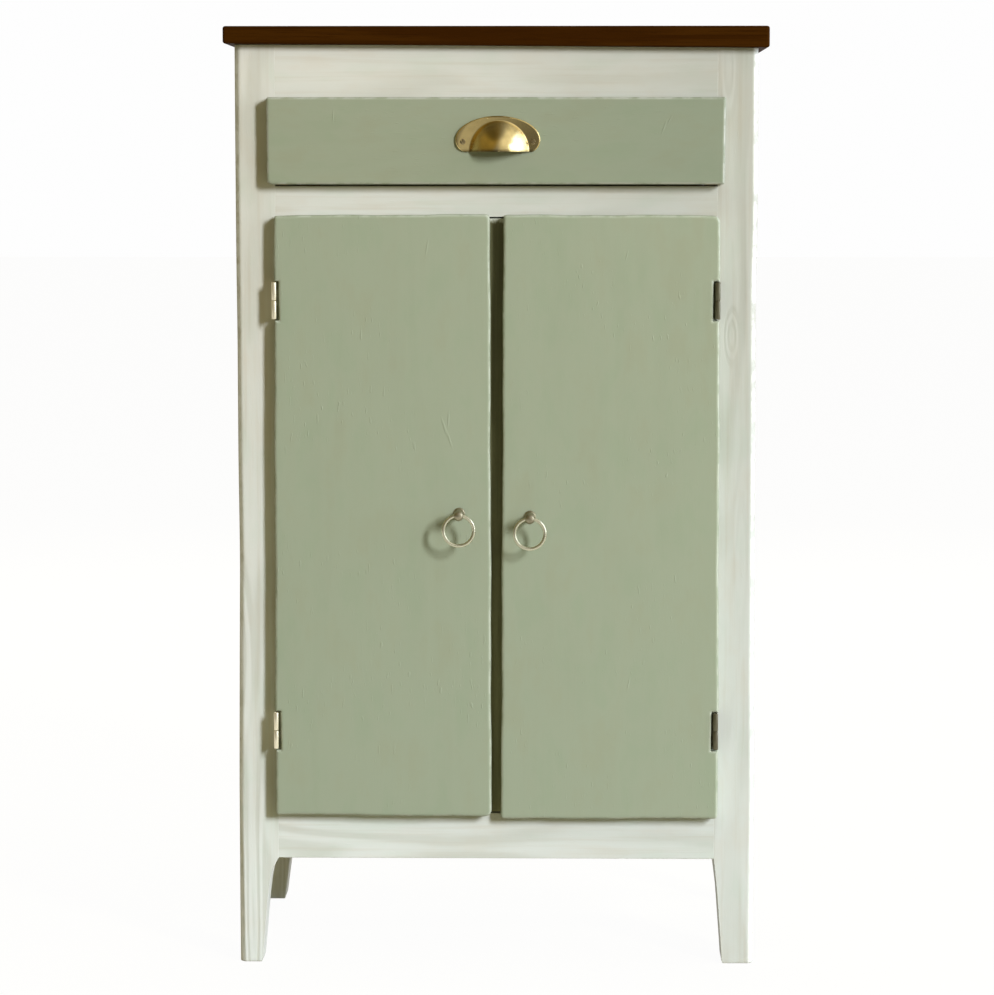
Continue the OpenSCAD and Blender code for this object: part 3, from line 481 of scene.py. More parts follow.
def dark_wood(name, dark, mid, light):
    """Stained walnut: close growth lines, long dark pores and a low oil sheen."""
    m = Finish(name)
    lines = m.wave(m.grain((70.0, 60.0, 1.5)), 9.0, 3.0, 1.2)
    pores = m.ramp(m.noise(m.grain((1100.0, 1100.0, 22.0)), 1.0, 2.0), 0.52, 0.68)
    broad = m.noise(m.grain((14.0, 14.0, 1.2)), 1.0, 3.0)
    tone = m.mix(m.ramp(broad, 0.3, 0.7), dark, mid)
    tone = m.mix(m.ramp(lines, 0.3, 1.0, 0.0, 0.65), tone, light)
    tone = m.mix(m.math("MULTIPLY", pores, 0.7), tone, dark)
    return m.done(Base_Color=tone, Roughness=m.ramp(lines, 0.0, 1.0, 0.5, 0.62),
                  Normal=m.bump(pores, -0.00012), Specular_IOR_Level=0.015)


def bare_wood(name, pale, line):
    """Planed softwood: soft growth bands, fine fibre and a few darker streaks."""
    m = Finish(name)
    bands = m.wave(m.grain((38.0, 26.0, 1.2)), 8.0, 2.0, 0.9)
    fibre = m.noise(m.grain((700.0, 700.0, 12.0)), 1.0, 3.0)
    broad = m.noise(m.grain((18.0, 18.0, 1.0)), 1.0, 2.0)
    tone = m.mix(m.ramp(bands, 0.45, 1.0, 0.0, 0.75), pale, line)
    tone = m.mix(m.ramp(broad, 0.4, 0.8, 0.0, 0.3), tone, line)
    tone = m.mix(m.ramp(fibre, 0.4, 0.7, 0.0, 0.25), tone, line)
    return m.done(Base_Color=tone, Roughness=m.ramp(fibre, 0.3, 0.7, 0.6, 0.75),
                  Normal=m.bump(m.math("ADD", bands, fibre), 0.00008))


def brass(name, bright, dull, rough, patina, metal=1.0, lip_shade_heights=(-2.0, -1.0)):
    """Aged brass: cloudy tarnish, rub marks and small dark specks. A painted shade darkens the brass and
    fades out from the lower to the upper of two heights in millimetres. Rough is a pair, for clean and for
    tarnished metal. A lacquered finish is less metal and more colour."""
    m = Finish(name)
    place = m.place()
    cloud = m.noise(place, 120.0, 4.0, 0.6)
    speck = m.ramp(m.noise(place, 900.0, 2.0), 0.62, 0.72)
    rub = m.noise(m.place((300.0, 300.0, 2200.0)), 1.0, 2.0)
    # Painted shade: the brass darkens towards the lower of the two heights
    lip_shade = m.ramp(m.axes(place)["Z"], lip_shade_heights[0] * MM, lip_shade_heights[1] * MM, 0.85, 0.0)
    tone = m.mix(m.ramp(cloud, 0.35, 0.75, 0.0, patina), bright, dull)
    tone = m.mix(m.math("MULTIPLY", speck, 0.4 * patina), tone, dull)
    tone = m.mix(lip_shade, tone, tuple(0.18 * c for c in dull))
    return m.done(Base_Color=tone, Metallic=metal, Roughness=m.ramp(cloud, 0.3, 0.75, *rough),
                  Normal=m.bump(rub, 0.000004))


def steel(name, colour):
    """Zinc plated steel with a faint spangle."""
    m = Finish(name)
    spangle = m.noise(m.place(), 700.0, 3.0)
    tone = m.mix(m.ramp(spangle, 0.35, 0.7), colour, tuple(0.8 * c for c in colour))
    return m.done(Base_Color=tone, Metallic=1.0, Roughness=m.ramp(spangle, 0.3, 0.7, 0.3, 0.45),
                  Normal=m.bump(spangle, 0.00001))


def plastic(name, colour):
    """Moulded plastic with a fine spark texture."""
    m = Finish(name)
    spark = m.noise(m.place(), 2500.0, 2.0)
    tone = m.mix(m.ramp(spark, 0.3, 0.7, 0.0, 0.2), colour, tuple(0.85 * c for c in colour))
    return m.done(Base_Color=tone, Roughness=m.ramp(spark, 0.3, 0.7, 0.45, 0.6),
                  Normal=m.bump(spark, 0.00003))


# Knots as (x, z, half width, half height, push), and nicks as (x, z, lean, size)
KNOTS = ((236.0, 641.0, 10.0, 38.0, 0.20), (-249.0, 30.0, 14.0, 230.0, 0.22),
         (-262.0, 330.0, 17.0, 120.0, 0.16), (232.0, 905.0, 10.0, 60.0, 0.15),
         (247.0, 420.0, 10.0, 130.0, 0.16))
DOOR_NICKS = ((-68.7, 730.0, 0.16, 0.9), (-51.5, 550.0, -0.30, 1.1), (-46.5, 538.0, -0.30, 1.0),
              (-47.5, 558.0, 0.05, 0.9), (131.0, 722.0, 0.25, 0.6), (134.0, 290.0, 0.2, 0.7),
              (144.0, 386.0, -0.1, 0.5), (-154.0, 270.0, 0.1, 0.5))
DRAWER_NICKS = ((-162.2, 859.7, 0.05, 0.8), (167.5, 849.0, 0.35, 0.8), (173.4, 857.0, 0.5, 0.6))
EVEN = (1.0, 1.0, 1.0)  # no tint to the right

# In these paints the low and high tones differ as painted shade, darker high, and the right-hand tints are
# painted shade
CREAM = painted_wood("cream_paint_on_frame", low=(0.82, 0.85, 0.82), high=(0.695, 0.675, 0.60),
                     painted_shade_right=(0.72, 0.73, 0.72), worn_and_lit_edge=(0.84, 0.84, 0.80), roughness=0.5, figure=0.8,
                     dabs=0.25, knots=KNOTS)
CREAM_INSIDE = painted_wood("cream_paint_inside", low=(0.66, 0.64, 0.55), high=(0.56, 0.54, 0.46),
                            painted_shade_right=EVEN, worn_and_lit_edge=(0.72, 0.70, 0.62), roughness=0.6, figure=0.6, dabs=0.2)
SAGE = painted_wood("sage_paint", low=(0.345, 0.39, 0.285), high=(0.33, 0.36, 0.255), painted_shade_right=EVEN,
                    worn_and_lit_edge=(0.50, 0.53, 0.43), roughness=0.44, figure=0.10, dabs=0.8, nicks=DOOR_NICKS)
# Painted shade: the drawer takes a darker copy of the doors' sage, also darker to the right
SAGE_SHADED_DRAWER = painted_wood("sage_paint_shaded_on_drawer", low=(0.32, 0.35, 0.245), high=(0.31, 0.335, 0.235),
                           painted_shade_right=(0.84, 0.87, 0.88), worn_and_lit_edge=(0.50, 0.50, 0.44), roughness=0.44,
                           figure=0.08, dabs=0.5, nicks=DRAWER_NICKS)
# Painted shade: the upright in the doors' gap is painted dark for the shade there
GAP_SHADE_PAINT = shaded_gap_wood("painted_shade_in_gap", low=(0.30, 0.29, 0.155), high=(0.15, 0.145, 0.075),
                     smear_and_highlight=(0.55, 0.56, 0.48))
WALNUT = dark_wood("stained_walnut", dark=(0.027, 0.0078, 0.0006), mid=(0.038, 0.0115, 0.0009),
                   light=(0.050, 0.0165, 0.0014))
PINE = bare_wood("planed_softwood", pale=(0.62, 0.44, 0.25), line=(0.45, 0.27, 0.12))
# The cup pull is darkened near its lower lip as painted shade
CUP_BRASS = brass("antique_brass", bright=(0.81, 0.63, 0.27), dull=(0.50, 0.37, 0.13),
                  rough=(0.20, 0.27), patina=0.3, lip_shade_heights=(CUP_Z - 0.5, CUP_Z + 3.5))
# Painted shade: the cup pull's screw heads are dark, standing in for the shade of their sunk seats
SCREW_BRASS_SHADED = brass("brass_darkened_as_shade", bright=(0.30, 0.23, 0.11), dull=(0.15, 0.11, 0.05),
                    rough=(0.3, 0.4), patina=0.5)
RING_BRASS = brass("pale_brass", bright=(0.66, 0.63, 0.45), dull=(0.42, 0.39, 0.25),
                   rough=(0.26, 0.32), patina=0.3, metal=0.92)
HEAD_BRASS = brass("dull_brass", bright=(0.36, 0.32, 0.21), dull=(0.20, 0.165, 0.095),
                   rough=(0.40, 0.50), patina=0.6, metal=0.85)
# One brass in two copies: pale on the left hinges as painted light, dark on the right hinges, frame screws
# and pins as painted shade
HINGE_PAINTED_LIT = brass("brass_painted_lit", bright=(0.90, 0.82, 0.60), dull=(0.75, 0.65, 0.45),
                   rough=(0.30, 0.40), patina=0.3, metal=0.7)
HINGE_PAINTED_SHADED = brass("brass_painted_shaded", bright=(0.13, 0.12, 0.07), dull=(0.085, 0.07, 0.04),
                   rough=(0.40, 0.50), patina=0.5, metal=0.6)
ZINC = steel("zinc_plate", (0.70, 0.69, 0.66))
OFF_WHITE = plastic("off_white_plastic", (0.70, 0.69, 0.64))


# Posts and legs

# Heights and how far the outer face stands out there
LEFT_WAVES = ((0, 60, 190, 300, 415, 520, 640, 720, 830, 932),
              (0.7, 0.9, 1.0, 0.1, -1.0, 0.0, 0.1, 0.8, 1.1, 1.2))
RIGHT_WAVES = ((0, 200, 300, 600, 690, 760, 932), (1.1, 1.6, 0.7, 0.5, 0.1, 1.5, 1.2))
STRAIGHT = ((0, TOP_Z), (0.0, 0.0))
# Each leg's taper, hollow and power
RIGHT_LEG = (7.6, 1.3, 5)
LEFT_LEG = (9.0, 8.3, 8)
BACK_LEG = (14.0, 4.5, 6)
POST_RADII = (0.2, 1.6, 1.6, 1.2, 1.2, 0.25, 0.25)


def leg_cut(z, taper, hollow, power):
    """How far a leg's inner faces are cut back at a height: taper (1 - t) + hollow (1 - t^power), with t the
    share of the leg's height."""
    t = np.clip(z / LEG_H, 0, 1)
    return taper * (1 - t) + hollow * (1 - t ** power)


def housed(z):
    """Whether a height lies in a hinge leaf's housing."""
    return any(h - HINGE_HALF < z <= h + HINGE_HALF for h in HINGE_Z)


def post(leg, waves, hinged):
    """A right-hand post. Its plan, with the outer corner cut off, is carried up from the rounded foot, while
    the two inner faces follow leg_cut and the outer face follows waves. The leaves' housings are cut in the
    inner face of a hinged post."""
    heights = [*np.linspace(0, LEG_H, 25), *np.linspace(LEG_H, TOP_Z, 34)[1:-1], TOP_Z - 0.3]
    if hinged:
        for end in [h + half for h in HINGE_Z for half in (-HINGE_HALF, HINGE_HALF)]:
            heights += [end - 0.4, end, end + 0.01, end + 0.41]
    a = np.linspace(0, math.pi / 2, 5)
    stations = [(0.0, FOOT_R + GUARD)]
    stations += [(FOOT_R * (1 - math.cos(k)), FOOT_R * (1 - math.sin(k))) for k in a]
    stations += [(z, 0.0) for z in sorted(heights) if FOOT_R + 0.3 < z < TOP_Z]
    stations += [(TOP_Z, 0.0)]
    mouth = FRAME_LEAF_END if hinged else BACK_RAIL_T
    rings = []
    for z, inset in stations:
        cut = leg_cut(z, *leg)
        x0 = IN_X + cut
        x1 = OUT_X + np.interp(z, *waves)
        y1 = POST_D - cut
        if hinged and housed(z):
            front, back = (x0 + HOUSING, 0.0), (x0 + HOUSING + 0.02, mouth)
        else:
            front, back = (x0, 0.0), (x0, mouth - 0.6)
        plan = [front, (x1 - CHAMFER, 0.0), (x1, CHAMFER), (x1, y1), (x0, y1), (x0, mouth), back]
        flat = outline(plan, POST_RADII, inset, 4, 400.0)
        rings.append(np.concatenate([flat, np.full((len(flat), 1), z)], 1))
    return tube(np.stack(rings))


def back_turned(part):
    """A front post turned to the back of the carcase."""
    points, quads, ends = part
    return points * np.array([1.0, -1.0, 1.0]) + np.array([0.0, DEEP, 0.0]), quads, ends


for side, leg, waves in (("right", RIGHT_LEG, RIGHT_WAVES), ("left", LEFT_LEG, LEFT_WAVES)):
    piece(f"{side}_front_leg_and_post", on_side(side, post(leg, waves, True)), CREAM, "cabinet",
          [f"{side}_front_post"])
    piece(f"{side}_back_leg_and_post", on_side(side, back_turned(post(BACK_LEG, STRAIGHT, False))), CREAM,
          "cabinet", [f"{side}_back_post"])


# Rails, panels and shelf

BETWEEN = (-IN_X, IN_X)
BETWEEN_LOOSE = (-IN_X + FIT, IN_X - FIT)
FRONT_RAIL = (0.0, FRAME_T)
BACK_RAIL = (BACK_Y - BACK_RAIL_T, BACK_Y)
LOW_RAIL = (LEG_H, RAIL_TOP)
HIGH_RAIL = (HEAD_Z, TOP_Z)
BESIDE = (POST_D, DEEP - POST_D)

for name, y, z, end_r in (("top_rail", FRONT_RAIL, HIGH_RAIL, 0.2),
                          ("middle_rail", FRONT_RAIL, (MID_Z, MID_TOP + 0.6), 0.2),
                          ("bottom_rail", FRONT_RAIL, LOW_RAIL, 0.2),
                          ("upper_back_rail", BACK_RAIL, HIGH_RAIL, 0.8),
                          ("lower_back_rail", BACK_RAIL, LOW_RAIL, 0.8)):
    piece(f"{name}_board", board(BETWEEN, y, z, "x", end_r, 0.8), CREAM, "cabinet", [name],
          "x")

PANEL_Y = (POST_D - TONGUE, DEEP - POST_D + TONGUE)
PANEL_Z = (RAIL_TOP - 7.0, HEAD_Z + TONGUE)
for name, x, y, z, axis, edge_r in (("upper_side_rail", SIDE_X, BESIDE, HIGH_RAIL, "y", 0.8),
                                    ("lower_side_rail", SIDE_X, BESIDE, LOW_RAIL, "y", 0.8),
                                    ("side_panel", PANEL_X, PANEL_Y, PANEL_Z, "z", 0.6)):
    for side in ("left", "right"):
        piece(f"{side}_{name}_board", on_side(side, board(x, y, z, axis, edge_r)), CREAM, "cabinet",
              [f"{side}_{name}"], axis)

piece("back_panel_board", board(BETWEEN_LOOSE, (BACK_Y, DEEP), (LEG_H, TOP_Z), "z", 0.5), CREAM_INSIDE,
      "cabinet", ["back_panel"], "z")
centre_post = board((-CENTRE_HALF, CENTRE_HALF), (0.2, FRAME_T), (RAIL_TOP + 1.5, MID_Z - 1.4), "z",
                    0.4, 0.8)
piece("centre_post_board", centre_post, GAP_SHADE_PAINT, "cabinet", ["centre_post"], "z")


def eared(y, z, wall):
    """A board from side to side, with an ear at each end that reaches the wall between the posts."""
    x = IN_X - FIT
    front, back = POST_D + FIT, DEEP - POST_D - FIT
    plan = [(-x, y[0]), (x, y[0]), (x, front), (wall, front), (wall, back), (x, back),
            (x, y[1]), (-x, y[1]), (-x, back), (-wall, back), (-wall, front), (-x, front)]
    return prism(plan, 0.8, z[0], z[1], "z", (0.8, 1.0))


SHELF_LOW = SHELF_Z - SHELF_T
floor_board = eared((FRAME_T + FIT, BACK_RAIL[0] - FIT), FLOOR_Z, SIDE_X[0] - FIT)
shelf = eared((SHELF_Y, BACK_Y - FIT), (SHELF_LOW, SHELF_Z), PANEL_X[0] - FIT)
piece("floor_board_panel", floor_board, CREAM_INSIDE, "cabinet", ["floor_board"], "x")
piece("shelf_board", shelf, CREAM_INSIDE, "cabinet", ["shelf"], "x")

for side in ("left", "right"):
    for name, y, z, material, slot in (
            ("shelf_cleat", (SHELF_Y, BACK_Y), (SHELF_LOW - CLEAT_H, SHELF_LOW), CREAM_INSIDE,
             "cream_inside"),
            ("drawer_runner", (FRAME_T, BACK_Y), (RUNNER_Z, MID_TOP), PINE, "bare_wood"),
            ("kicker", (FRAME_T, BACK_RAIL[0]), (KICKER_Z, TOP_Z), PINE, "bare_wood")):
        piece(f"{side}_{name}_batten", on_side(side, board((IN_X - BATTEN_W, IN_X), y, z, "y", 1.0)),
              material, "cabinet", [f"{side}_{name}"], "y")


# Top board

def top_board():
    """The board with its underside sunk by 2.2 + 2.1 u - 0.75 u^2, with u from -1 at the left end to 1 at
    the right one."""
    points, quads, ends = board((-TOP_HALF, TOP_HALF), TOP_Y, (TOP_Z, HIGH_Z), "x", 2.6, 2.2)
    lower = points[:, 2] < (TOP_Z + HIGH_Z) / 2
    u = points[lower, 0] / TOP_HALF
    points[lower, 2] -= 2.2 + 2.1 * u - 0.75 * u ** 2
    return points, quads, ends


piece("walnut_top", top_board(), WALNUT, "cabinet", ["top_board"], "x")


# Drawer

face = [(-228.8, DRAWER_Z[0]), (228.2, DRAWER_Z[0]), (229.3, DRAWER_Z[1]), (-229.2, DRAWER_Z[1])]
drawer_front = prism(face, (6.0, 2.6, 2.6, 3.2), SLAB_FRONT, SLAB_BACK, "y", (FRONT_R, BACK_R), 6)
piece("drawer_front_slab", drawer_front, SAGE_SHADED_DRAWER, "drawer", ["drawer_front"], "x")

ACROSS = (-BOX_IN, BOX_IN)
LENGTHWAYS = (SLAB_BACK, BOX_BACK)
GROOVED = BOX_IN + 5.5
for name, x, y, z, axis in (
        ("drawer_inner_front", ACROSS, (SLAB_BACK, SLAB_BACK + BOX_T), (INNER_FRONT_Z, BOX_Z[1]), "x"),
        ("drawer_back", ACROSS, (BOX_BACK - BOX_T, BOX_BACK), (BOX_BOTTOM[1], BOX_Z[1]), "x"),
        ("drawer_left_side", (-BOX_OUT, -BOX_IN), LENGTHWAYS, BOX_Z, "y"),
        ("drawer_right_side", (BOX_IN, BOX_OUT), LENGTHWAYS, BOX_Z, "y"),
        ("drawer_bottom", (-GROOVED, GROOVED), (SLAB_BACK + TONGUE, BOX_BACK), BOX_BOTTOM, "x")):
    piece(f"{name}_board", board(x, y, z, axis, 0.7), PINE, "drawer", [name], axis)


# Cup pull

def dome_height(rho, r, deep):
    """Height over the drawer front at a distance rho from the middle: deep cos(pi/2 rho/r), and straight on
    beyond r."""
    t = math.pi / 2 * np.asarray(rho) / r
    return np.where(t < math.pi / 2, deep * np.cos(t), deep * (math.pi / 2 - t))


def dish_height(rho):
    """Height of the flange's face over the drawer front: level to 29.5 from the middle, then rising
    evenly over 12."""
    return FLANGE_T + FLANGE_RISE * np.clip((rho - 29.5) / 12.0, 0, 1)


def soft_max(a, b, k):
    """The larger of two values, (a + b + sqrt((a - b)^2 + k^2)) / 2, rounded where they meet."""
    return (a + b + np.sqrt((a - b) ** 2 + k ** 2)) / 2


def flange_reach(phi):
    """Distance from the dome's middle to the flange's edge at each angle: the first place outside a half
    oval on two round lobes."""
    rho = np.linspace(20, 50, 1501)[:, None]
    x, z = np.abs(rho * np.cos(phi) + DOME_SHIFT), rho * np.sin(phi)
    half, r = CUP_W / 2, LOBE - 2
    oval = np.hypot(x / half, (z - LOBE) / (CUP_H - LOBE)) < 1
    lobe = np.hypot((x - (half - r)) / r, (z - LOBE) / LOBE) < 1
    inside = np.where(z > LOBE, oval, (x < half - r) | lobe)
    return rho[:, 0][np.argmin(inside, 0)]


def cup():
    """The pull as one closed skin. For each angle round the dome's middle, a loop runs out over the dome and
    the dished flange, round the flange's edge and back inside the dome. The dome is stretched upwards."""
    angles = [[0, 0.008], np.linspace(0.03, math.pi - 0.03, 95), [math.pi - 0.008, math.pi]]
    phi = np.concatenate(angles)
    share = np.concatenate([np.linspace(0, 0.9, 20), np.linspace(0.9, 1.12, 18)[1:]])
    inner_r = DOME_R - CUP_WALL
    inner_rho = np.linspace(1, 0, 22) * inner_r
    inner_y = -dome_height(inner_rho, inner_r, DOME_DEEP - CUP_WALL)
    loops = []
    for angle, far in zip(phi, flange_reach(phi)):
        tall = math.hypot(math.cos(angle), DOME_TALL * math.sin(angle))
        dome_rho = share * DOME_R * 0.98 * tall
        rho = np.concatenate([dome_rho, np.linspace(dome_rho[-1], far - 1.5, 9)[1:]])
        height = soft_max(dome_height(rho / tall, DOME_R, DOME_DEEP), dish_height(rho), 0.5)
        top = height[-1]
        edge = [(far - 0.9, 0.05 - top), (far - 0.4, 0.35 - top), (far - 0.1, 0.8 - top),
                (far, 1.3 - top), (far, -0.1), (far - 0.2, 0.0)]
        front, back = np.stack([rho, -height], 1), np.stack([inner_rho * tall, inner_y], 1)
        out, y = np.concatenate([front, edge, back]).T
        loops.append(np.stack([out * math.cos(angle), y, out * math.sin(angle)], 1))
    return tube(np.stack(loops) + np.array([CUP_X + DOME_SHIFT, SLAB_FRONT, CUP_Z]))


def screw_head(r, rise, slot_angle):
    """A round head that faces the front: the height rise cos(pi/2 t) at the radius r sin(pi/2 t), less a
    slot across it of the depth 0.75 rise (1 - (s / 0.2 r)^6), with s the distance from the slot's middle."""
    t = np.linspace(0, 1, 9)[::-1] * math.pi / 2
    dome = np.stack([r * np.sin(t), rise * np.cos(t)], 1)
    points, quads, ends = lathe(np.concatenate([[(r, -0.5)], dome]), (0, 0, 0), "z", 36)
    x, y, z = points.T
    across = x * math.cos(slot_angle) + y * math.sin(slot_angle)
    slot = np.clip(1 - (np.abs(across) / (0.2 * r)) ** 6, 0, 1) * 0.75 * rise
    z = np.where(z > 0.01, np.maximum(z - slot, 0.05), z)
    return np.stack([x, -z, y], 1), quads, ends


def moved_to(part, place):
    """A part moved from the origin to a place."""
    points, quads, ends = part
    return points + np.asarray(place, float), quads, ends


piece("brass_cup_pull", cup(), CUP_BRASS, "drawer", ["cup_pull"])
cup_heads = []
for x, slot_angle in ((-CUP_SCREW[0], 0.6), (CUP_SCREW[0], 1.1)):
    seat = SLAB_FRONT - dish_height(math.hypot(x - DOME_SHIFT, CUP_SCREW[1]))
    head = screw_head(r=2.9, rise=0.9, slot_angle=slot_angle)
    cup_heads.append(moved_to(head, (CUP_X + x, seat, CUP_Z + CUP_SCREW[1])))
piece("cup_pull_screw_heads", joined(*cup_heads), SCREW_BRASS_SHADED, "drawer", ["cup_pull_screws"])


# Doors

def door(meet, low, high, out, corners, notch):
    """A right-hand door: its outline carried from the front to the back, with a notch for each hinge that is
    cut to notch in front of NOTCH_Y and to the leaf behind it. Meet and out are the meeting edge's and the
    hinge edge's x at the foot and at the top. Low and high are the lower and the upper edge's z at the
    meeting and at the hinge side. The edges wander by sines of their length."""
    stations, insets = edge_stations(SLAB_FRONT, SLAB_BACK, FRONT_R, BACK_R)
    step = int(np.searchsorted(stations, NOTCH_Y))
    stations = np.insert(stations, step, [NOTCH_Y - 0.01, NOTCH_Y])
    insets = np.insert(insets, step, [0.0, 0.0])
    rings = []
    for y, inset in zip(stations, insets):
        depth = notch if y < NOTCH_Y - 0.005 else DOOR_LEAF_X
        shape = [(meet[0], low[0]), (out[0], low[1])]
        radii = [corners[0], corners[1]]
        for h in HINGE_Z[::-1]:
            edge = np.interp(h, DOOR_Z, out)
            z0, z1 = h - HINGE_HALF - 1, h + HINGE_HALF + 1
            shape += [(edge, z0), (depth, z0), (depth, z1), (edge, z1)]
            radii += [0.5, 0.3, 0.3, 0.5]
        shape += [(out[1], high[1]), (meet[1], high[0])]
        radii += [corners[2], corners[3]]
        x, z = outline(shape, radii, inset, 6, 12.0).T
        wander_x = 0.28 * np.sin(z / 37.0) + 0.2 * np.sin(z / 14.0 + 1.0)
        wander_z = 0.3 * np.sin(x / 21.0) + 0.18 * np.sin(x / 8.0 + 2.0)
        rings.append(np.stack([x + wander_x, np.full(len(x), y), z + wander_z], 1))
    return tube(np.stack(rings))


left_door = door(meet=(4.4, 5.8), low=(154.0, 155.8), high=(763.0, 761.8), out=(223.2, 221.9),
                 corners=(8.0, 3.0, 3.0, 6.0), notch=217.9)
right_door = door(meet=(5.2, 7.6), low=(151.9, 152.8), high=(762.4, 762.0), out=(225.0, 223.9),
                  corners=(4.0, 4.0, 8.0, 4.0), notch=218.0)
for side, slab in (("left", left_door), ("right", right_door)):
    piece(f"{side}_door_slab", on_side(side, slab), SAGE, f"{side}_door", [f"{side}_door_panel"])


# Ring pulls

def torus(centre, big, small):
    """A ring that faces the front: its wire's circle turned round Y."""
    a = np.linspace(0, 2 * math.pi, 20, endpoint=False)
    return lathe(np.stack([big + small * np.cos(a), small * np.sin(a)], 1), centre, "y", 96, closed=True)


def bead(centre, ball, hole):
    """A drilled ball: the section between the hole's wall and the ball, with soft lips, turned round X."""
    end = math.asin(hole / ball)
    a = np.linspace(end + 0.08, math.pi - end - 0.08, 21)
    outer = np.stack([ball * np.sin(a), ball * np.cos(a)], 1)
    half = ball * math.cos(end) - 0.35
    wall = np.stack([np.full(7, hole), np.linspace(-half, half, 7)], 1)
    return lathe(np.concatenate([outer, wall]), centre, "x", 40, closed=True)


# The rose and the neck: radii, and places in front of the door
NECK = ((0.4, 0.0), (6.0, 0.0), (6.0, -0.9), (5.7, -1.5), (5.2, -1.9), (4.9, -2.1), (4.7, -2.6),
        (4.4, -3.6), (4.1, -4.8), (3.9, -6.5), (3.7, -9.0), (3.6, -12.0), (3.6, -15.0), (3.7, -18.0),
        (3.8, -20.3), (3.9, -21.4), (3.5, -22.0), (0.4, -22.2))
WASHER = ((2.1, 0.0), (5.4, 0.0), (5.6, 0.15), (5.6, 0.65), (5.4, 0.8), (2.1, 0.8))


def pull_post(x, z):
    """A pull's fixed piece: a stepped rose, a waisted neck and a drilled ball."""
    neck = lathe(NECK, (x, SLAB_FRONT, z), "y", 36)
    return joined(neck, bead((x, SLAB_FRONT - RING_OUT, z), BALL_R, BORE_R))


def hex_nut(x, z):
    """A washer and a six-sided nut behind the door."""
    a = np.arange(6) * math.pi / 3
    hexagon = np.stack([x + 4.6 * np.cos(a), z + 4.6 * np.sin(a)], 1)
    nut = prism(hexagon, 0.5, SLAB_BACK + 0.8, SLAB_BACK + 4.0, "y", (0.3, 0.4), 3, 50.0)
    return joined(nut, lathe(WASHER, (x, SLAB_BACK, z), "y", 36, closed=True))


for side, (x, z) in PULLS.items():
    ring = torus((x, SLAB_FRONT - RING_OUT, z + RING_SEAT - RING_R), RING_R, WIRE_R)
    piece(f"{side}_ring_of_wire", ring, RING_BRASS, f"{side}_ring", [f"{side}_ring"])
    piece(f"{side}_pull_rose_and_ball", pull_post(x, z), HEAD_BRASS, f"{side}_door",
          [f"{side}_ring_post"])
    piece(f"{side}_pull_nut", hex_nut(x, z), RING_BRASS, f"{side}_door", [f"{side}_ring_nut"])


# Hinges

def knuckle(z0, z1, r):
    """Half a hinge's barrel: a tube of radius r with rounded ends."""
    outer = [(1.6, z0 + 0.3), (1.75, z0 + 0.05), (r - 0.6, z0), (r - 0.2, z0 + 0.2), (r, z0 + 0.7),
             (r, z1 - 0.7), (r - 0.2, z1 - 0.2), (r - 0.6, z1), (1.75, z1 - 0.05), (1.6, z1 - 0.3)]
    return lathe(outer, (PIN_X, PIN_Y, 0), "z", 36, closed=True)


def leaf(x, end, z, upper):
    """A leaf's plate from its knuckle's wall back to end. Its half beside the other leaf's knuckle is cut
    short. Upper leaves have their knuckle in the hinge's upper half."""
    root, clear = PIN_Y + LEAF_ROOT, PIN_Y + LEAF_CLEAR
    z0, z1 = z - HINGE_HALF, z + HINGE_HALF
    if upper:
        shape = [(clear, z0), (end, z0), (end, z1), (root, z1), (root, z), (clear, z)]
    else:
        shape = [(root, z0), (end, z0), (end, z1), (clear, z1), (clear, z), (root, z)]
    return prism(shape, 0.5, x, x + LEAF_T, "x", (0.2, 0.2), 3, 60.0)


def leaf_screws(x, y, z, facing):
    """Two slotted countersunk heads on a leaf that faces right, with facing 1, or left, with -1."""
    heads = []
    for up, slot_angle in ((-LEAF_SCREW_UP, 0.4), (LEAF_SCREW_UP, 1.9)):
        points, quads, ends = screw_head(r=2.8, rise=0.45, slot_angle=slot_angle)
        turned = np.stack([-points[:, 1] * facing, points[:, 0], points[:, 2]], 1)
        heads.append(moved_to((turned, quads, ends), (x, y, z + up)))
    return joined(*heads)


def pins():
    """The right-hand pair of hinge pins, with domed ends."""
    pair = []
    for z in HINGE_Z:
        z0, z1 = z - HINGE_HALF, z + HINGE_HALF - 1
        profile = [(0.3, z0 + 0.1), (0.9, z0 + 0.2), (1.3, z0 + 0.45), (PIN_R, z0 + 0.9),
                   (PIN_R, z1 - 0.9), (1.3, z1 - 0.45), (0.9, z1 - 0.2), (0.3, z1 - 0.1)]
        pair.append(lathe(profile, (PIN_X, PIN_Y, 0), "z", 24))
    return joined(*pair)


# Left hinges take the lit copy and right ones the shaded copy, as painted light and shade
for side, brass_finish, r in (("right", HINGE_PAINTED_SHADED, 2.6), ("left", HINGE_PAINTED_LIT, 2.4)):
    door_heads = []
    for level, z in zip(("upper", "lower"), HINGE_Z):
        fixed = joined(knuckle(z - HINGE_HALF, z - KNUCKLE_GAP, r),
                       leaf(FRAME_LEAF_X, FRAME_LEAF_END, z, False))
        swung = joined(knuckle(z + KNUCKLE_GAP, z + HINGE_HALF, r),
                       leaf(DOOR_LEAF_X, DOOR_LEAF_END, z, True))
        piece(f"{side}_{level}_hinge_fixed_leaf", on_side(side, fixed), brass_finish, "cabinet",
              [f"{side}_{level}_frame_leaf"])
        piece(f"{side}_{level}_hinge_door_leaf", on_side(side, swung), brass_finish, f"{side}_door",
              [f"{side}_{level}_door_leaf"])
        door_heads.append(leaf_screws(DOOR_LEAF_X + LEAF_T, DOOR_SCREW_Y, z, 1))
    piece(f"{side}_door_hinge_screws", on_side(side, joined(*door_heads)), brass_finish, f"{side}_door",
          [f"{side}_door_leaf_screws"])

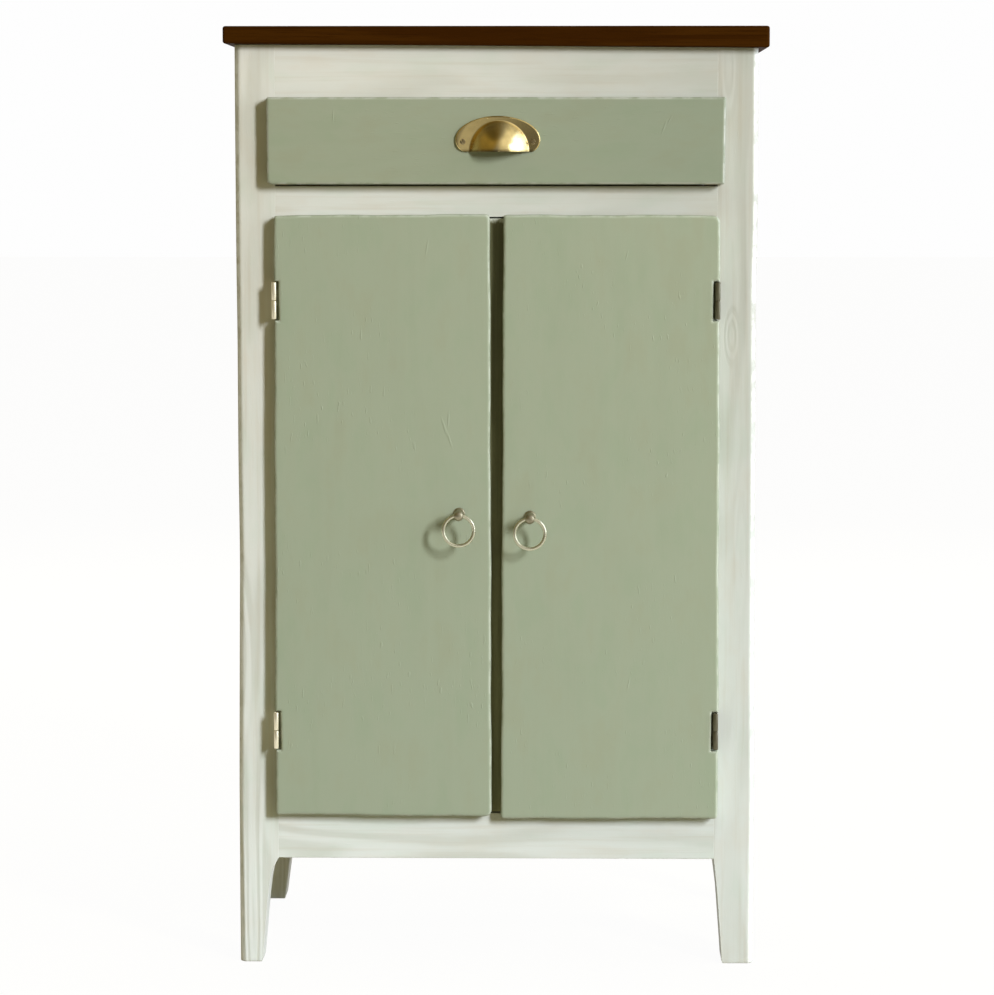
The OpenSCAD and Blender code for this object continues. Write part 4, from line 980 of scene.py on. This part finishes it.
frame_heads = joined(*[leaf_screws(FRAME_LEAF_X, FRAME_SCREW_Y, z, -1) for z in HINGE_Z])
for name, part, node in (("frame_hinge_screws", frame_heads, "frame_leaf_screws"),
                         ("hinge_pin_set", pins(), "hinge_pins")):
    piece(name, joined(part, on_side("left", part)), HINGE_PAINTED_SHADED, "cabinet", [node])


# CAD pieces that stay, with a finish

for node, material in (("left_catch", OFF_WHITE), ("right_catch", OFF_WHITE),
                       ("left_strike_plate", ZINC), ("right_strike_plate", ZINC),
                       ("top_board_screws", ZINC), ("drawer_front_screws", ZINC)):
    for material_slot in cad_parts[node].material_slots:
        material_slot.material = material


# Studio, in metres

WHITE = (1.0, 1.0, 1.0, 1)
FLOOR_HALF = 30.0
FLOOR_PAINT = (0.31, 0.28, 0.16, 1)
FLOOR_GLOW = 1.075
GLOW_SHARE = 0.9
FILL = (1.0, 0.89, 0.50, 1)
TIMBER_GLOW = (1.0, 0.76, 0.25, 1)
ROOM_GLOW = (1.0, 0.99, 0.98, 1)
BACKDROP = (0.99, 0.99, 0.99, 1)


def studio_floor():
    """A wide pale floor that holds the object's shadow. The camera sees it near white. In reflections it is
    near white round and behind the object and dim far in front, more so to the left."""
    corners = [(-FLOOR_HALF, -FLOOR_HALF, 0), (FLOOR_HALF, -FLOOR_HALF, 0),
               (FLOOR_HALF, FLOOR_HALF, 0), (-FLOOR_HALF, FLOOR_HALF, 0)]
    mesh = bpy.data.meshes.new("studio_floor")
    mesh.from_pydata(corners, [], [(0, 1, 2, 3)])
    m = Finish("pale_floor")
    m.tree.nodes.remove(m.shader)
    path = m.add("ShaderNodeLightPath").outputs
    bounced = m.math("MAXIMUM", path["Is Glossy Ray"], path["Is Transmission Ray"])
    seen = m.math("MAXIMUM", path["Is Camera Ray"], bounced)
    place = m.axes(m.place())
    far = m.ramp(place["X"], -1.2, 1.2, 0.12, 0.45)
    mirrored = m.ramp(place["Y"], -2.4, -1.2, far, 1.0)
    strength = m.math("MULTIPLY", m.math("MAXIMUM", mirrored, path["Is Camera Ray"]), FLOOR_GLOW)
    paint = m.add("ShaderNodeBsdfDiffuse", {"Color": FLOOR_PAINT}).outputs[0]
    glow = m.add("ShaderNodeEmission", {"Color": WHITE, "Strength": strength}).outputs[0]
    surface = m.blend(m.math("MULTIPLY", seen, GLOW_SHARE), paint, glow)
    m.set(m.tree.nodes["Material Output"], "Surface", surface)
    mesh.materials.append(m.material)
    obj = bpy.data.objects.new("studio_floor", mesh)
    bpy.context.scene.collection.objects.link(obj)


def studio_world(low, high):
    """The fill light, from low at the horizon to high overhead. The camera sees white, and so does metal
    where it mirrors the backdrop behind the object. In front, metal mirrors a dim room that is lighter to
    the right, dark at the ceiling and brown in its upper left corner."""
    world = bpy.data.worlds.new("studio_world")
    bpy.context.scene.world = world
    world.use_nodes = True
    world.node_tree.nodes.clear()
    w = Nodes(world.node_tree)

    def glow(colour, strength=1.0):
        """A background of one colour."""
        return w.add("ShaderNodeBackground", {"Color": colour, "Strength": strength}).outputs[0]

    path = w.add("ShaderNodeLightPath").outputs
    towards = w.axes(w.add("ShaderNodeTexCoord").outputs["Generated"])
    across, back, height = towards["X"], towards["Y"], towards["Z"]
    sky = w.add("ShaderNodeMapRange", {"Value": height, "To Min": low, "To Max": high}).outputs[0]
    wall = w.ramp(height, -0.1, 0.7, 0.25, 0.5)
    ceiling = w.ramp(w.math("MULTIPLY_ADD", across, -0.2, height), 0.78, 0.98, 1.0, 0.28)
    side = w.ramp(across, -0.35, 0.45, 0.6, 2.0)
    room = w.math("MULTIPLY", w.math("MULTIPLY", wall, ceiling), side)
    corner = w.math("SUBTRACT", w.math("MULTIPLY", height, 0.75), across)
    dim = w.blend(w.ramp(corner, 0.55, 0.85), glow(ROOM_GLOW, room), glow(TIMBER_GLOW, room))
    white = glow(BACKDROP)
    mirrored = w.blend(w.ramp(back, 0.0, 0.5), dim, white)
    lit = w.blend(path["Is Glossy Ray"], glow(FILL, sky), mirrored)
    clear = w.math("MAXIMUM", path["Is Camera Ray"], path["Is Transmission Ray"])
    surface = w.blend(clear, lit, white)
    w.set(w.add("ShaderNodeOutputWorld"), "Surface", surface)


def area_light(name, azimuth, elevation, distance, size, radiance, colour):
    """A soft panel that faces the middle of the cupboard. Azimuth is from straight ahead towards the
    right, and the power is radiance times pi times the panel's area."""
    a, e = math.radians(azimuth), math.radians(elevation)
    direction = np.array([math.sin(a) * math.cos(e), -math.cos(a) * math.cos(e), math.sin(e)])
    data = bpy.data.lights.new(name, "AREA")
    data.shape = "RECTANGLE"
    data.size, data.size_y = size
    data.energy = radiance * math.pi * size[0] * size[1]
    data.color = colour
    across = unit(np.cross([0, 0, 1.0], direction))
    basis = np.eye(4)
    basis[:3, 0] = across
    basis[:3, 1] = np.cross(direction, across)
    basis[:3, 2] = direction
    basis[:3, 3] = np.array([0.0, FRONT_Y, 0.5]) + direction * distance
    obj = bpy.data.objects.new(name, data)
    obj.matrix_world = mathutils.Matrix(basis.tolist())
    bpy.context.scene.collection.objects.link(obj)
    return obj


studio_floor()
studio_world(low=0.12, high=0.45)
key = area_light("key_panel", azimuth=36, elevation=19.5, distance=8.0, size=(1.0, 2.3), radiance=88.5,
                 colour=(0.90, 0.94, 1.0))
key.visible_glossy = False
area_light("side_panel", azimuth=80, elevation=16, distance=3.5, size=(2.4, 2.4), radiance=4.0,
           colour=(0.80, 0.88, 1.0))
area_light("back_panel", azimuth=178, elevation=28, distance=4.0, size=(2.4, 1.6), radiance=9.0,
           colour=(0.90, 0.94, 1.0))
window = area_light("window_panel", azimuth=96, elevation=20, distance=3.6, size=(1.8, 3.6), radiance=4.0,
                    colour=(0.52, 0.65, 1.0))
window.visible_diffuse = False


# Camera

SENSOR = 36.0
FOCAL_PIXELS = 3577.9
FRAME_PIXELS = 995.0
EYE_X = 0.0647
EYE_AWAY = 3.6
EYE_Z = 0.8061
EYE_DOWN = 0.0910  # radians below the horizon
EYE_LEFT = 0.0177  # radians to the left of straight ahead
lens = bpy.data.cameras.new("camera")
lens.sensor_width = SENSOR
lens.lens = SENSOR * FOCAL_PIXELS / FRAME_PIXELS
lens.clip_end = 100.0
eye = bpy.data.objects.new("camera", lens)
eye.location = (EYE_X, FRONT_Y - EYE_AWAY, EYE_Z)
eye.rotation_euler = (math.pi / 2 - EYE_DOWN, 0.0, EYE_LEFT)
bpy.context.scene.collection.objects.link(eye)
bpy.context.scene.camera = eye
bpy.context.scene.view_settings.view_transform = "Standard"
